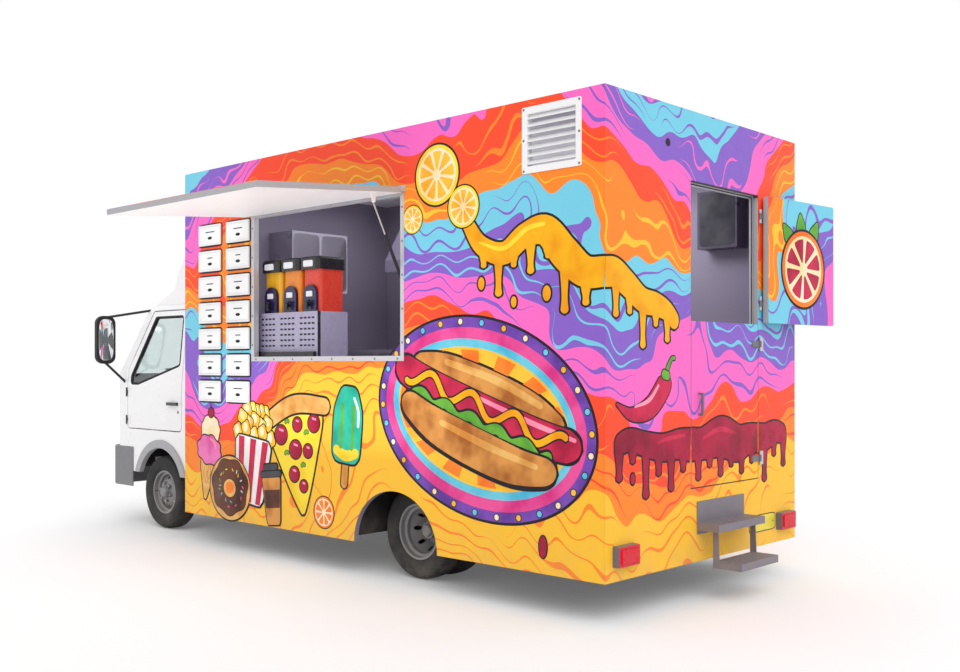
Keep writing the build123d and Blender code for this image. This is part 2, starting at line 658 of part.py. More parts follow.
# Kitchen
with BuildPart() as service_counter:
    counter_y = (HATCH_REAR - 200, BOX_LENGTH - PANEL - 40)
    block((-WALL_INSIDE, -WALL_INSIDE + 420), counter_y, (COUNTER_TOP - 40, COUNTER_TOP))
    for leg_y in (REAR_AXLE + WELL_HALF + 40, (HATCH_REAR + BOX_LENGTH) / 2, BOX_LENGTH - PANEL - 80):
        block((-WALL_INSIDE, -WALL_INSIDE + 380), (leg_y, leg_y + 30), (FLOOR_TOP, COUNTER_TOP - 40))
write(service_counter, "service_counter")

# Bench along the right wall, a cabinet on the front wall and a switch cabinet inside the rear door
CABINET_WIDTH = 600
CABINET_DEPTH = 320
CABINET_BASE = BENCH_TOP + 490
CABINET_TOP = BENCH_TOP + 1000
SWITCH_REAR = 340
SWITCH_WIDTH = 320
SWITCH_DEPTH = 150
SWITCH_BASE = BOX_TOP - 705
SWITCH_TOP = BOX_TOP - 295

with BuildPart() as kitchen_units:
    bench_y = (REAR_AXLE + WELL_HALF + 60, BOX_LENGTH - PANEL - 20)
    block((WALL_INSIDE - BENCH_DEPTH, WALL_INSIDE), bench_y, (FLOOR_TOP, BENCH_TOP))
    cabinet_y = (BOX_LENGTH - PANEL - CABINET_DEPTH, BOX_LENGTH - PANEL)
    block((-CABINET_WIDTH / 2, CABINET_WIDTH / 2), cabinet_y, (CABINET_BASE, CABINET_TOP))
    switch_y = (SWITCH_REAR, SWITCH_REAR + SWITCH_WIDTH)
    block((WALL_INSIDE - SWITCH_DEPTH, WALL_INSIDE), switch_y, (SWITCH_BASE, SWITCH_TOP))
write(kitchen_units, "kitchen_units")

HOOD_BACK = 700
HOOD_LENGTH = 1500
HOOD_BASE = 2230
HOOD_DEPTH = 620
HOOD_LIP = 100
HOOD_TOP_DEPTH = 260

with BuildPart() as extraction_hood:
    with BuildSketch(across(BOX_LENGTH - HOOD_BACK)):
        with BuildLine():
            Polyline(
                (WALL_INSIDE, BOX_TOP - PANEL),
                (WALL_INSIDE, HOOD_BASE),
                (WALL_INSIDE - HOOD_DEPTH, HOOD_BASE),
                (WALL_INSIDE - HOOD_DEPTH, HOOD_BASE + HOOD_LIP),
                (WALL_INSIDE - HOOD_TOP_DEPTH, BOX_TOP - PANEL),
                close=True,
            )
        make_face()
    extrude(amount=HOOD_LENGTH)
write(extraction_hood, "extraction_hood")

# Slush drink machine: tanks with lids and arched tap fronts over a slotted base and a drip tray
LID_HEIGHT = 95
LID_PLATE = (110, 46)
ARCH_FRONT = 75
ARCH_STAND = 22
SLOT_ROWS = 6
SLOT_COLUMNS = 4
TRAY_HEIGHT = 40

with BuildPart() as slush_machine:
    slush_y = (SLUSH_REAR, SLUSH_REAR + SLUSH_BOWLS * SLUSH_PITCH)
    slush_x = (-WALL_INSIDE + 40, -WALL_INSIDE + 40 + SLUSH_BACK)
    front, lid_base = slush_x[0], SLUSH_BOWL_TOP - LID_HEIGHT
    block(slush_x, slush_y, (COUNTER_TOP, SLUSH_BASE_TOP))
    block((front - 30, front), (slush_y[0] + 8, slush_y[1] - 8), (COUNTER_TOP, COUNTER_TOP + TRAY_HEIGHT))
    for bowl in range(SLUSH_BOWLS):
        middle = slush_y[0] + (bowl + 0.5) * SLUSH_PITCH
        half = SLUSH_PITCH / 2 - 16
        tank_x = (front + 2 * ARCH_STAND, slush_x[1] - 18)
        with BuildSketch(level(SLUSH_BASE_TOP)):
            rectangle(tank_x, (middle - half, middle + half), radius=28)
        extrude(amount=lid_base - SLUSH_BASE_TOP)
        with BuildSketch(level(lid_base)):
            rectangle((front + 12, slush_x[1] - 4), (middle - half - 11, middle + half + 11), radius=36)
        lid = extrude(amount=LID_HEIGHT)
        fillet(lid.edges().group_by(Axis.Z)[-1], 24)
        # Arched tap front, a name plate on it and on the lid, and the tap with its lever
        with BuildSketch(lengthwise(front + ARCH_STAND)):
            rectangle((middle - ARCH_FRONT, middle + ARCH_FRONT), (SLUSH_BASE_TOP - 4, SLUSH_BASE_TOP + 120))
            with Locations((middle, SLUSH_BASE_TOP + 120)):
                Circle(ARCH_FRONT)
        extrude(amount=ARCH_STAND + 2)
        with BuildSketch(lengthwise(front + ARCH_STAND - 5)):
            with Locations((middle, SLUSH_BASE_TOP + 128)):
                RectangleRounded(70, 40, 8)
        extrude(amount=6)
        with BuildSketch(lengthwise(front + 6)):
            with Locations((middle, lid_base + LID_HEIGHT / 2 - 6)):
                RectangleRounded(*LID_PLATE, 12)
        extrude(amount=8)
        tap_z = SLUSH_BASE_TOP + 52
        rod((front - 14, middle, tap_z), (front + ARCH_STAND + 2, middle, tap_z), 15)
        rod((front - 2, middle, tap_z - 34), (front - 2, middle, tap_z + 20), 11)
        block((front - 12, front + 4), (middle - 26, middle + 26), (tap_z + 18, tap_z + 30))
        # Cooling slots in the base, in rows
        slots_z = COUNTER_TOP + TRAY_HEIGHT + (SLUSH_BASE_HEIGHT - TRAY_HEIGHT) / 2
        with BuildSketch(lengthwise(front)):
            with Locations((middle, slots_z)):
                with GridLocations(46, 40, SLOT_COLUMNS, SLOT_ROWS):
                    Rectangle(33, 13)
        extrude(amount=8, mode=Mode.SUBTRACT)
write(slush_machine, "slush_machine")


# Cab: one form from a side, a plan and a front outline, grown or shrunk for its shells
SCREEN_FOOT = CAB_WAIST + 60
SCREEN_BASE = SCREEN_FOOT + 35
SCREEN_TOP = CAB_ROOF - 75


def cab_form(inset, base=CAB_BASE):
    """The cab's solid form, a stated inset inside its outer faces, down to a base."""
    with BuildPart() as form:
        with BuildSketch(lengthwise(-HALF_CAB)):
            with BuildLine():
                Polyline(
                    (CAB_REAR, base - inset),
                    (CAB_REAR, CAB_ROOF),
                    (PILLAR_HEAD - 40, CAB_ROOF),
                    (PILLAR_HEAD, CAB_ROOF - 20),
                    (PILLAR_FOOT, SCREEN_FOOT),
                    (CAB_FRONT - 20, CAB_WAIST - 20),
                    (CAB_FRONT, NOSE_HEIGHT),
                    (CAB_FRONT, base - inset),
                    close=True,
                )
            make_face()
            if inset:
                offset(amount=-inset, kind=Kind.INTERSECTION, mode=Mode.REPLACE)
        extrude(amount=CAB_WIDTH)
        half = HALF_CAB - inset
        nose = CAB_FRONT - inset
        with BuildSketch(level(0)):
            with BuildLine():
                Polyline((half, nose - CAB_BOW), (half, CAB_REAR), (-half, CAB_REAR), (-half, nose - CAB_BOW))
                ThreePointArc((-half, nose - CAB_BOW), (0, nose), (half, nose - CAB_BOW))
            make_face()
            fillet(vertices().group_by(Axis.Y)[-1], CAB_CORNER - inset)
        extrude(amount=CAB_ROOF + 10, mode=Mode.INTERSECT)
        with BuildSketch(across(CAB_FRONT)):
            roof = CAB_ROOF - inset
            with BuildLine():
                Polyline(
                    (-half, 0),
                    (-half, CAB_WAIST),
                    (-half + CAB_LEAN, roof),
                    (half - CAB_LEAN, roof),
                    (half, CAB_WAIST),
                    (half, 0),
                    close=True,
                )
            make_face()
            fillet(vertices().group_by(Axis.Z)[-1], ROOF_CORNER - inset)
        extrude(amount=CAB_FRONT - CAB_REAR, mode=Mode.INTERSECT)
    return form.part


outer_form = cab_form(0)
inner_form = cab_form(CAB_WALL, CAB_BASE - 1)
all_across = (-HALF_CAB, HALF_CAB)
# The cabin stops at the footwell floor and the seat platform; wheels and engine have the space below both
with BuildPart() as cabin_space:
    add(inner_form)
    block(all_across, (CAB_REAR, CAB_FRONT), (0, FOOTWELL), mode=Mode.SUBTRACT)
    block(all_across, (CAB_REAR, FOOTWELL_REAR), (0, PLATFORM), mode=Mode.SUBTRACT)
with BuildPart() as wheel_space:
    add(inner_form)
    above_rear = (PLATFORM - CAB_WALL, CAB_ROOF)
    above_front = (FOOTWELL - CAB_WALL, CAB_ROOF)
    block(all_across, (CAB_REAR, CAB_FRONT), above_rear, mode=Mode.SUBTRACT)
    block(all_across, (FOOTWELL_REAR - CAB_WALL, CAB_FRONT), above_front, mode=Mode.SUBTRACT)


def lamp_block(side):
    """The outline of a head lamp, seen from the front."""
    with BuildSketch(across(CAB_FRONT + 20)) as outline:
        with Locations((side * LAMP_APART, HEAD_LAMP_HEIGHT)):
            RectangleRounded(HEAD_LAMP_WIDTH, HEAD_LAMP_DEPTH, 40)
    return outline.sketch


def cab_door_outline(gap):
    """The cab door's outline in side view, grown or shrunk."""
    with BuildLine() as outline:
        Polyline(
            (CAB_DOOR_REAR, CAB_DOOR_BASE),
            (CAB_DOOR_REAR, CAB_DOOR_HEAD),
            (PILLAR_HEAD - 60, CAB_DOOR_HEAD),
            (CAB_DOOR_FRONT, CAB_WAIST + 150),
            (CAB_DOOR_FRONT, CAB_DOOR_BASE),
            close=True,
        )
    make_face(outline.edges())
    fillet(vertices(), 45)
    if gap:
        offset(amount=gap, mode=Mode.REPLACE)


def door_window_outline():
    """The door window's outline in side view; its sill drops towards the front."""
    border = CAB_WINDOW_BORDER
    with BuildLine() as outline:
        Polyline(
            (CAB_DOOR_REAR + border, CAB_WAIST + 180),
            (CAB_DOOR_REAR + border, CAB_DOOR_HEAD - border),
            (PILLAR_HEAD - 100, CAB_DOOR_HEAD - border),
            (CAB_DOOR_FRONT - border, CAB_WAIST + 90),
            (CAB_DOOR_FRONT - border, CAB_WAIST + 15),
            (CAB_DOOR_FRONT - border - 130, CAB_WAIST + 15),
            close=True,
        )
    make_face(outline.edges())
    fillet(vertices(), 30)


def screen_outline():
    """The windscreen's outline seen from the front."""
    with BuildLine() as outline:
        Polyline(
            (-HALF_CAB + SCREEN_BORDER, SCREEN_BASE),
            (-HALF_CAB + CAB_LEAN + SCREEN_BORDER, SCREEN_TOP),
            (HALF_CAB - CAB_LEAN - SCREEN_BORDER, SCREEN_TOP),
            (HALF_CAB - SCREEN_BORDER, SCREEN_BASE),
            close=True,
        )
    make_face(outline.edges())
    fillet(vertices(), 50)


def door_knuckle(side, middle, half, mode=Mode.ADD, radius=CAB_KNUCKLE):
    """A round length of a cab door's hinge."""
    x = side * CAB_HINGE_X
    rod((x, CAB_HINGE_Y, middle - half), (x, CAB_HINGE_Y, middle + half), radius, mode)


HINGE_PLATE = 4
HINGE_REACH = 50
HINGE_HALF = 40

with BuildPart() as cab_shell:
    add(outer_form)
    add(cabin_space.part, mode=Mode.SUBTRACT)
    add(wheel_space.part, mode=Mode.SUBTRACT)
    for side in SIDES.values():
        extrude(lamp_block(side), amount=CAB_WALL + 60, mode=Mode.SUBTRACT)
    for side in SIDES.values():
        with BuildSketch(lengthwise(side * HALF_CAB)):
            with Locations((CAB_ARCH_CENTRE, CAB_ARCH_HEIGHT)):
                Circle(CAB_ARCH_RADIUS)
        extrude(amount=-side * CAB_WALL, mode=Mode.SUBTRACT)
    with BuildSketch(lengthwise(-HALF_CAB)):
        cab_door_outline(0)
    extrude(amount=CAB_WIDTH, mode=Mode.SUBTRACT)
    with BuildSketch(across(CAB_FRONT)):
        screen_outline()
    extrude(amount=PILLAR_HEAD_BACK + 30, mode=Mode.SUBTRACT)
    # The rear panel stops above the chassis rails
    tunnel = RAIL_OUTER + 25
    tunnel_y = (CAB_REAR - 1, CAB_REAR + CAB_WALL + 1)
    block((-tunnel, tunnel), tunnel_y, (CAB_BASE - 1, PLATFORM - CAB_WALL), mode=Mode.SUBTRACT)
    # Hinge plates on the pillars, each with a pin and a knuckle above and below the door's
    for side in SIDES.values():
        plate_x = (side * HALF_CAB, side * (HALF_CAB + HINGE_PLATE))
        for hinge_z in CAB_HINGES:
            plate_z = (hinge_z - HINGE_HALF, hinge_z + HINGE_HALF)
            block(plate_x, (CAB_DOOR_FRONT, CAB_DOOR_FRONT + HINGE_REACH), plate_z)
            door_knuckle(side, hinge_z, HINGE_HALF, radius=CAB_KNUCKLE - 3)
            for middle in (hinge_z - 29, hinge_z + 29):
                door_knuckle(side, middle, 11)
                web_x = (side * HALF_CAB, side * CAB_HINGE_X)
                block(web_x, (CAB_HINGE_Y + 3, CAB_DOOR_FRONT + 6), (middle - 11, middle + 11))
write(cab_shell, "cab_shell")

glass_outer = cab_form(GLASS_INSET)
glass_inner = cab_form(GLASS_INSET + GLASS)
with BuildPart() as windscreen:
    add(glass_outer)
    add(glass_inner, mode=Mode.SUBTRACT)
    with BuildSketch(across(CAB_FRONT)):
        screen_outline()
    extrude(amount=PILLAR_HEAD_BACK + 30, mode=Mode.INTERSECT)
write(windscreen, "windscreen")


def cab_door(side):
    """A cab door: a slice of the cab's shell, with its window cut, its hinge leaves and a handle."""
    near = 0 if side > 0 else -HALF_CAB
    with BuildPart() as door:
        add(outer_form)
        add(cabin_space.part, mode=Mode.SUBTRACT)
        with BuildSketch(lengthwise(near)):
            cab_door_outline(-CAB_DOOR_GAP)
        extrude(amount=HALF_CAB, mode=Mode.INTERSECT)
        with BuildSketch(lengthwise(near)):
            door_window_outline()
        extrude(amount=HALF_CAB, mode=Mode.SUBTRACT)
        # Pull handle: a bar that stands off the panel on two feet
        handle_y, handle_z = CAB_DOOR_REAR + 130, CAB_WAIST - 150
        bar_x = (side * (HALF_CAB + 14), side * (HALF_CAB + 26))
        block(bar_x, (handle_y - 80, handle_y + 80), (handle_z - 13, handle_z + 13))
        for foot_y in (handle_y - 68, handle_y + 68):
            foot_x = (side * (HALF_CAB - 1), side * (HALF_CAB + 15))
            block(foot_x, (foot_y - 12, foot_y + 12), (handle_z - 13, handle_z + 13))
        for hinge_z in CAB_HINGES:
            plate_x = (side * (HALF_CAB - 1), side * (HALF_CAB + HINGE_PLATE))
            leaf_y = (CAB_HINGE_Y - HINGE_REACH, CAB_HINGE_Y - CAB_KNUCKLE)
            block(plate_x, leaf_y, (hinge_z - HINGE_HALF, hinge_z + HINGE_HALF))
            web_x = (side * (HALF_CAB - 1), side * CAB_HINGE_X)
            block(web_x, (leaf_y[1] - 4, CAB_HINGE_Y - 3), (hinge_z - 17, hinge_z + 17))
            door_knuckle(side, hinge_z, 17)
            door_knuckle(side, hinge_z, 18, mode=Mode.SUBTRACT, radius=CAB_KNUCKLE - 3 + PIN_CLEAR)
    return door


def door_glass(side):
    """The glass of a cab door."""
    near = 0 if side > 0 else -HALF_CAB
    with BuildPart() as glass:
        add(glass_outer)
        add(glass_inner, mode=Mode.SUBTRACT)
        with BuildSketch(lengthwise(near)):
            door_window_outline()
        extrude(amount=HALF_CAB, mode=Mode.INTERSECT)
    return glass


for name, side in SIDES.items():
    write(cab_door(side), f"cab_door_{name}")
    write(door_glass(side), f"door_glass_{name}")

# Air deflector: a moulded shell on the cab roof, open below and behind, that rises to the box
DEFLECTOR_INSET = 100
DEFLECTOR_SINK = 14
DEFLECTOR_SKIN = 12
DEFLECTOR_REAR = CAB_REAR + 30

with BuildPart() as roof_deflector:
    toe = (PILLAR_HEAD - 30, CAB_ROOF - DEFLECTOR_SINK)
    knee = (PILLAR_HEAD - 340, CAB_ROOF + 120)
    throat = (PILLAR_HEAD - 410, CAB_ROOF + 280)
    brow = (PILLAR_HEAD - 520, CAB_ROOF + 420)
    crest = (DEFLECTOR_REAR, CAB_ROOF + 735)
    with BuildSketch(lengthwise(-HALF_CAB + DEFLECTOR_INSET)):
        with BuildLine():
            Line(toe, knee)
            ThreePointArc(knee, throat, brow)
            Polyline(brow, crest, (DEFLECTOR_REAR, CAB_ROOF - DEFLECTOR_SINK), toe)
        make_face()
    extrude(amount=CAB_WIDTH - 2 * DEFLECTOR_INSET)
    open_faces = [faces().sort_by(Axis.Y)[0], faces().sort_by(Axis.Z)[0]]
    offset(amount=-DEFLECTOR_SKIN, openings=open_faces)
    add(outer_form, mode=Mode.SUBTRACT)
write(roof_deflector, "roof_deflector")

# Front bumper: it wraps the nose, with an air slot in its middle
BUMPER_REACH = 360
BUMPER_SIDE = 10
BUMPER_SLOT = (900, 90)
with BuildPart() as front_bumper:
    bumper_half = HALF_CAB + BUMPER_SIDE
    with BuildSketch(level(BUMPER_BASE)):
        rectangle((-bumper_half, bumper_half), (CAB_FRONT - BUMPER_REACH, BUMPER_FRONT))
        fillet(vertices().group_by(Axis.Y)[-1], CAB_CORNER + 20)
    extrude(amount=BUMPER_HEIGHT)
    front_edges = edges().filter_by(lambda edge: edge.center().Y > at(0, CAB_FRONT - CAB_CORNER, 0)[1])
    fillet(front_edges.filter_by(Axis.Z, reverse=True), 18)
    add(cab_form(0, BUMPER_BASE - 10), mode=Mode.SUBTRACT)
    slot_z = BUMPER_BASE + BUMPER_HEIGHT * 0.4
    slot_y = (CAB_FRONT - BUMPER_REACH, BUMPER_FRONT + 1)
    slot_x = (-BUMPER_SLOT[0] / 2, BUMPER_SLOT[0] / 2)
    block(slot_x, slot_y, (slot_z - BUMPER_SLOT[1] / 2, slot_z + BUMPER_SLOT[1] / 2), mode=Mode.SUBTRACT)
write(front_bumper, "front_bumper")

# Grille: a bowed plate on the nose with level slots
with BuildPart() as front_grille:
    grille_y = (CAB_FRONT - 120, CAB_FRONT + 20)
    block((-GRILLE_WIDTH / 2, GRILLE_WIDTH / 2), grille_y, (GRILLE_BASE, GRILLE_BASE + GRILLE_HEIGHT))
    add(cab_form(-10), mode=Mode.INTERSECT)
    add(outer_form, mode=Mode.SUBTRACT)
    slot_pitch = (GRILLE_HEIGHT - 16) / GRILLE_SLOTS
    groove_floor = cab_form(-4)
    for i in range(GRILLE_SLOTS):
        low = GRILLE_BASE + 14 + i * slot_pitch
        with BuildPart(mode=Mode.PRIVATE) as groove:
            block((-GRILLE_WIDTH / 2 + 20, GRILLE_WIDTH / 2 - 20), grille_y, (low, low + slot_pitch * 0.6))
            add(groove_floor, mode=Mode.SUBTRACT)
        add(groove.part, mode=Mode.SUBTRACT)
write(front_grille, "front_grille")

with BuildPart() as head_lamps:
    for side in SIDES.values():
        extrude(lamp_block(side), amount=CAB_WALL + 60)
    add(cab_form(-6), mode=Mode.INTERSECT)
write(head_lamps, "head_lamps")

# Flares: thick lips round the front wheel arches
with BuildPart() as wheel_flares:
    for side in SIDES.values():
        with BuildSketch(lengthwise(side * (HALF_CAB - 30))):
            with Locations((CAB_ARCH_CENTRE, CAB_ARCH_HEIGHT)):
                Circle(CAB_ARCH_RADIUS)
                Circle(CAB_ARCH_RADIUS - FLARE_WIDTH, mode=Mode.SUBTRACT)
            reach = (CAB_ARCH_CENTRE - CAB_ARCH_RADIUS - 10, CAB_ARCH_CENTRE + CAB_ARCH_RADIUS + 10)
            rectangle(reach, (CAB_ARCH_HEIGHT - CAB_ARCH_RADIUS - 10, CAB_BASE), mode=Mode.SUBTRACT)
            rectangle((reach[0], CAB_REAR), (0, CAB_ROOF), mode=Mode.SUBTRACT)
        extrude(amount=side * (30 + FLARE_OUT))
write(wheel_flares, "wheel_flares")

# Mirrors: tall rounded heads on two tube arms each, from the windscreen pillars
MIRROR_THICK = 60
MIRROR_ARM = 11
with BuildPart() as mirrors:
    for side in SIDES.values():
        head_x, head_y = side * (HALF_CAB + MIRROR_OUT), CAB_FRONT - MIRROR_BACK
        with BuildSketch(Plane(origin=at(head_x, head_y, 0), x_dir=(1, 0, 0), z_dir=(0, -1, 0))):
            with Locations((0, MIRROR_BASE + MIRROR_HEIGHT / 2)):
                RectangleRounded(MIRROR_WIDTH, MIRROR_HEIGHT, 70)
        head = extrude(amount=MIRROR_THICK)
        fillet(head.edges().group_by(Axis.Y)[-1], 25)
    for side in SIDES.values():
        head_x, arm_y = side * (HALF_CAB + MIRROR_OUT), CAB_FRONT - MIRROR_BACK - MIRROR_THICK / 2
        head_top, head_low = MIRROR_BASE + MIRROR_HEIGHT - 15, MIRROR_BASE + 15
        pillar_top = (side * (HALF_CAB - 110), PILLAR_HEAD - 30, CAB_ROOF - 45)
        pillar_low = (side * (HALF_CAB - 30), arm_y - 10, CAB_WAIST + 10)
        rod((head_x, arm_y, head_top), pillar_top, MIRROR_ARM)
        rod((head_x, arm_y, head_low), pillar_low, MIRROR_ARM)
    add(outer_form, mode=Mode.SUBTRACT)
write(mirrors, "mirrors")

# Dashboard, fitted between the pillars and against the cab's front
DASH_BACK = 410
with BuildPart() as dashboard:
    with BuildSketch(lengthwise(-HALF_CAB)):
        with BuildLine():
            Polyline(
                (CAB_FRONT - DASH_BACK, CAB_WAIST - 160),
                (CAB_FRONT - DASH_BACK, CAB_WAIST - 40),
                (CAB_FRONT - DASH_BACK + 90, CAB_WAIST + 10),
                (CAB_FRONT, CAB_WAIST + 30),
                (CAB_FRONT, CAB_WAIST - 240),
                (CAB_FRONT - DASH_BACK + 100, CAB_WAIST - 260),
                close=True,
            )
        make_face()
        fillet(vertices().sort_by(Axis.X)[:2], 25)
    extrude(amount=CAB_WIDTH)
    # Hood over the instruments, ahead of the driver on the right
    with BuildSketch(lengthwise(SEAT_APART - 170)):
        with BuildLine():
            Polyline(
                (CAB_FRONT - DASH_BACK + 30, CAB_WAIST - 30),
                (CAB_FRONT - DASH_BACK + 20, CAB_WAIST + 60),
                (CAB_FRONT - DASH_BACK + 60, CAB_WAIST + 75),
                (CAB_FRONT - DASH_BACK + 220, CAB_WAIST + 15),
                close=True,
            )
        make_face()
    extrude(amount=340)
    add(inner_form, mode=Mode.INTERSECT)
    for side in SIDES.values():
        clear_x = (side * (HALF_CAB - CAB_WALL - 20), side * HALF_CAB)
        clear_z = (CAB_WAIST - 300, CAB_WAIST + 100)
        block(clear_x, (CAB_DOOR_REAR, CAB_DOOR_FRONT + 12), clear_z, mode=Mode.SUBTRACT)
write(dashboard, "dashboard")

# Steering wheel: a round rim, a bar with a hub and the column
WHEEL_RIM = 185
with BuildPart() as steering_wheel:
    wheel_centre = (SEAT_APART, CAB_FRONT - DASH_BACK - 160, CAB_WAIST)
    column_end = (SEAT_APART, CAB_FRONT - DASH_BACK + 30, CAB_WAIST - 155)
    wheel_plane = Plane(origin=at(*wheel_centre), x_dir=(1, 0, 0), z_dir=(0, -0.775, 0.632))
    with Locations(wheel_plane):
        Torus(WHEEL_RIM, 14)
    with BuildSketch(wheel_plane):
        Rectangle(2 * WHEEL_RIM, 34)
        Circle(58)
    extrude(amount=9, both=True)
    rod(wheel_centre, column_end, 24)
    add(dashboard.part, mode=Mode.SUBTRACT)
write(steering_wheel, "steering_wheel")

# Seats: a cushion and a leaning back in one outline, with a head rest on two posts
SEAT_REAR = CAB_FRONT - 1260
SEAT_THICK = 160
with BuildPart() as seats:
    for side in SIDES.values():
        seat_x = side * SEAT_APART
        with BuildSketch(lengthwise(seat_x - SEAT_WIDTH / 2)):
            with BuildLine():
                Polyline(
                    (SEAT_REAR, PLATFORM),
                    (SEAT_REAR + 520, PLATFORM),
                    (SEAT_REAR + 545, PLATFORM + SEAT_THICK),
                    (SEAT_REAR + 110, PLATFORM + SEAT_THICK - 20),
                    (SEAT_REAR + 40, PLATFORM + 730),
                    (SEAT_REAR - 45, PLATFORM + 730),
                    close=True,
                )
            make_face()
            fillet(vertices().sort_by(Axis.Y)[2:], 28)
        extrude(amount=SEAT_WIDTH)
        rest_z = PLATFORM + 750
        with BuildSketch(across(SEAT_REAR + 35)):
            rectangle((seat_x - 130, seat_x + 130), (rest_z, rest_z + 150), radius=35)
        extrude(amount=75)
        for post in (-55, 55):
            rod((seat_x + post, SEAT_REAR, rest_z - 40), (seat_x + post, SEAT_REAR, rest_z + 20), 6)
write(seats, "seats")

# Chassis frame: two channel rails and their cross members
MEMBER_HALF = 30
MEMBERS = (
    RAIL_REAR + 60,
    REAR_AXLE - 580,
    REAR_AXLE + 620,
    (REAR_AXLE + 620 + CAB_REAR - 110) / 2,
    CAB_REAR - 110,
    CAB_FRONT - 350,
)
with BuildPart() as chassis_frame:
    for side in SIDES.values():
        with BuildSketch(across(RAIL_FRONT)):
            rail_x = sorted((side * RAIL_OUTER, side * (RAIL_OUTER - RAIL_FLANGE)))
            rectangle(rail_x, (RAIL_BASE, RAIL_TOP))
            hollow_x = sorted((side * (RAIL_OUTER - RAIL_WALL), side * (RAIL_OUTER - RAIL_FLANGE - 1)))
            rectangle(hollow_x, (RAIL_BASE + RAIL_WALL, RAIL_TOP - RAIL_WALL), mode=Mode.SUBTRACT)
        extrude(amount=RAIL_FRONT - RAIL_REAR)
    for member_y in MEMBERS:
        inside = RAIL_OUTER - RAIL_WALL
        member = (member_y - MEMBER_HALF, member_y + MEMBER_HALF)
        block((-inside, inside), member, (RAIL_BASE + 25, RAIL_TOP - 10))
    # Cab mounts: posts from the rails to the seat platform and pads to the footwell
    for side in SIDES.values():
        mount_x = (side * (RAIL_OUTER - 55), side * (RAIL_OUTER - 5))
        block(mount_x, (CAB_REAR + 80, CAB_REAR + 130), (RAIL_TOP, PLATFORM - CAB_WALL))
        block(mount_x, (CAB_FRONT - 360, CAB_FRONT - 300), (RAIL_TOP, FOOTWELL - CAB_WALL))
write(chassis_frame, "chassis_frame")


# Leaf springs
def leaf_pack(axle, seat, half, rise, leaves, thick):
    """A pair of leaf packs over an axle, each stacked from its longest leaf down to its seat."""
    for side in SIDES.values():
        for i in range(leaves):
            share = 1 - 0.2 * (leaves - 1 - i)
            base = seat + i * thick
            span, lift = half * share, rise * share**2
            with BuildSketch(lengthwise(side * SPRING_ACROSS - SPRING_WIDTH / 2)) as section:
                with BuildLine():
                    ThreePointArc((axle - span, base + lift), (axle, base), (axle + span, base + lift))
                    Line((axle + span, base + lift), (axle + span, base + lift + thick))
                    top = base + thick
                    ThreePointArc((axle + span, top + lift), (axle, top), (axle - span, top + lift))
                    Line((axle - span, top + lift), (axle - span, base + lift))
                make_face()
            extrude(section.sketch, amount=SPRING_WIDTH)
        top = seat + leaves * thick
        for end in (-1, 1):
            eye_y, eye_z = axle + end * half, seat + (leaves - 1) * thick + rise + thick / 2
            low_x = side * SPRING_ACROSS - SPRING_WIDTH / 2
            rod((low_x, eye_y, eye_z), (low_x + SPRING_WIDTH, eye_y, eye_z), 20)
            block((low_x, low_x + SPRING_WIDTH), (eye_y - 14, eye_y + 14), (eye_z, RAIL_BASE))
        clamp_x = (side * SPRING_ACROSS - 34, side * SPRING_ACROSS + 34)
        block(clamp_x, (axle - 60, axle + 60), (top - 1, top + 14))


REAR_SPRING_SEAT = 367
FRONT_SPRING_SEAT = 300
with BuildPart() as leaf_springs:
    leaf_pack(REAR_AXLE, REAR_SPRING_SEAT, 520, 26, 4, 12)
    leaf_pack(FRONT_AXLE, FRONT_SPRING_SEAT, 420, 80, 4, 10)
write(leaf_springs, "leaf_springs")

# Rear axle: a tube with its differential housing
with BuildPart() as rear_axle:
    axle_end = REAR_INNER - 60
    rod((-axle_end, REAR_AXLE, TYRE_RADIUS), (axle_end, REAR_AXLE, TYRE_RADIUS), 50)
    with Locations(at(0, REAR_AXLE, TYRE_RADIUS)):
        Sphere(125)
    rod((0, REAR_AXLE, TYRE_RADIUS), (0, REAR_AXLE + 190, TYRE_RADIUS), 55)
write(rear_axle, "rear_axle")

# Front axle: a dropped beam with an eye for each kingpin
BEAM_EYE = (TYRE_RADIUS - 30, TYRE_RADIUS + 30)
with BuildPart() as front_axle:
    block((-560, 560), (FRONT_AXLE - 30, FRONT_AXLE + 30), (235, FRONT_SPRING_SEAT))
    for side in SIDES.values():
        block((side * 520, side * (KINGPIN - 10)), (FRONT_AXLE - 26, FRONT_AXLE + 26), BEAM_EYE)
        rod((side * KINGPIN, FRONT_AXLE, BEAM_EYE[0]), (side * KINGPIN, FRONT_AXLE, BEAM_EYE[1]), 27)
        start, end = (side * KINGPIN, FRONT_AXLE, 0), (side * KINGPIN, FRONT_AXLE, TYRE_RADIUS + 60)
        rod(start, end, KINGPIN_RADIUS + PIN_CLEAR, mode=Mode.SUBTRACT)
write(front_axle, "front_axle")


def knuckle(side):
    """A steering knuckle: two ears on the kingpin, a web, a stub axle and a steering arm."""
    with BuildPart() as piece:
        pin_x = side * KINGPIN
        rod((pin_x, FRONT_AXLE, BEAM_EYE[0] - 22), (pin_x, FRONT_AXLE, BEAM_EYE[1] + 22), KINGPIN_RADIUS)
        for low, high in ((BEAM_EYE[0] - 22, BEAM_EYE[0] - 3), (BEAM_EYE[1] + 3, BEAM_EYE[1] + 22)):
            rod((pin_x, FRONT_AXLE, low), (pin_x, FRONT_AXLE, high), 26)
            block((pin_x, pin_x + side * 56), (FRONT_AXLE - 26, FRONT_AXLE + 26), (low, high))
        web_x = (pin_x + side * 36, pin_x + side * 56)
        block(web_x, (FRONT_AXLE - 40, FRONT_AXLE + 40), (BEAM_EYE[0] - 22, BEAM_EYE[1] + 22))
        stub_ends = (pin_x + side * 50, side * (FRONT_MIDDLE + 40))
        rod(*[(x, FRONT_AXLE, TYRE_RADIUS) for x in stub_ends], 18)
    return piece


for name, side in SIDES.items():
    write(knuckle(side), f"knuckle_{name}")


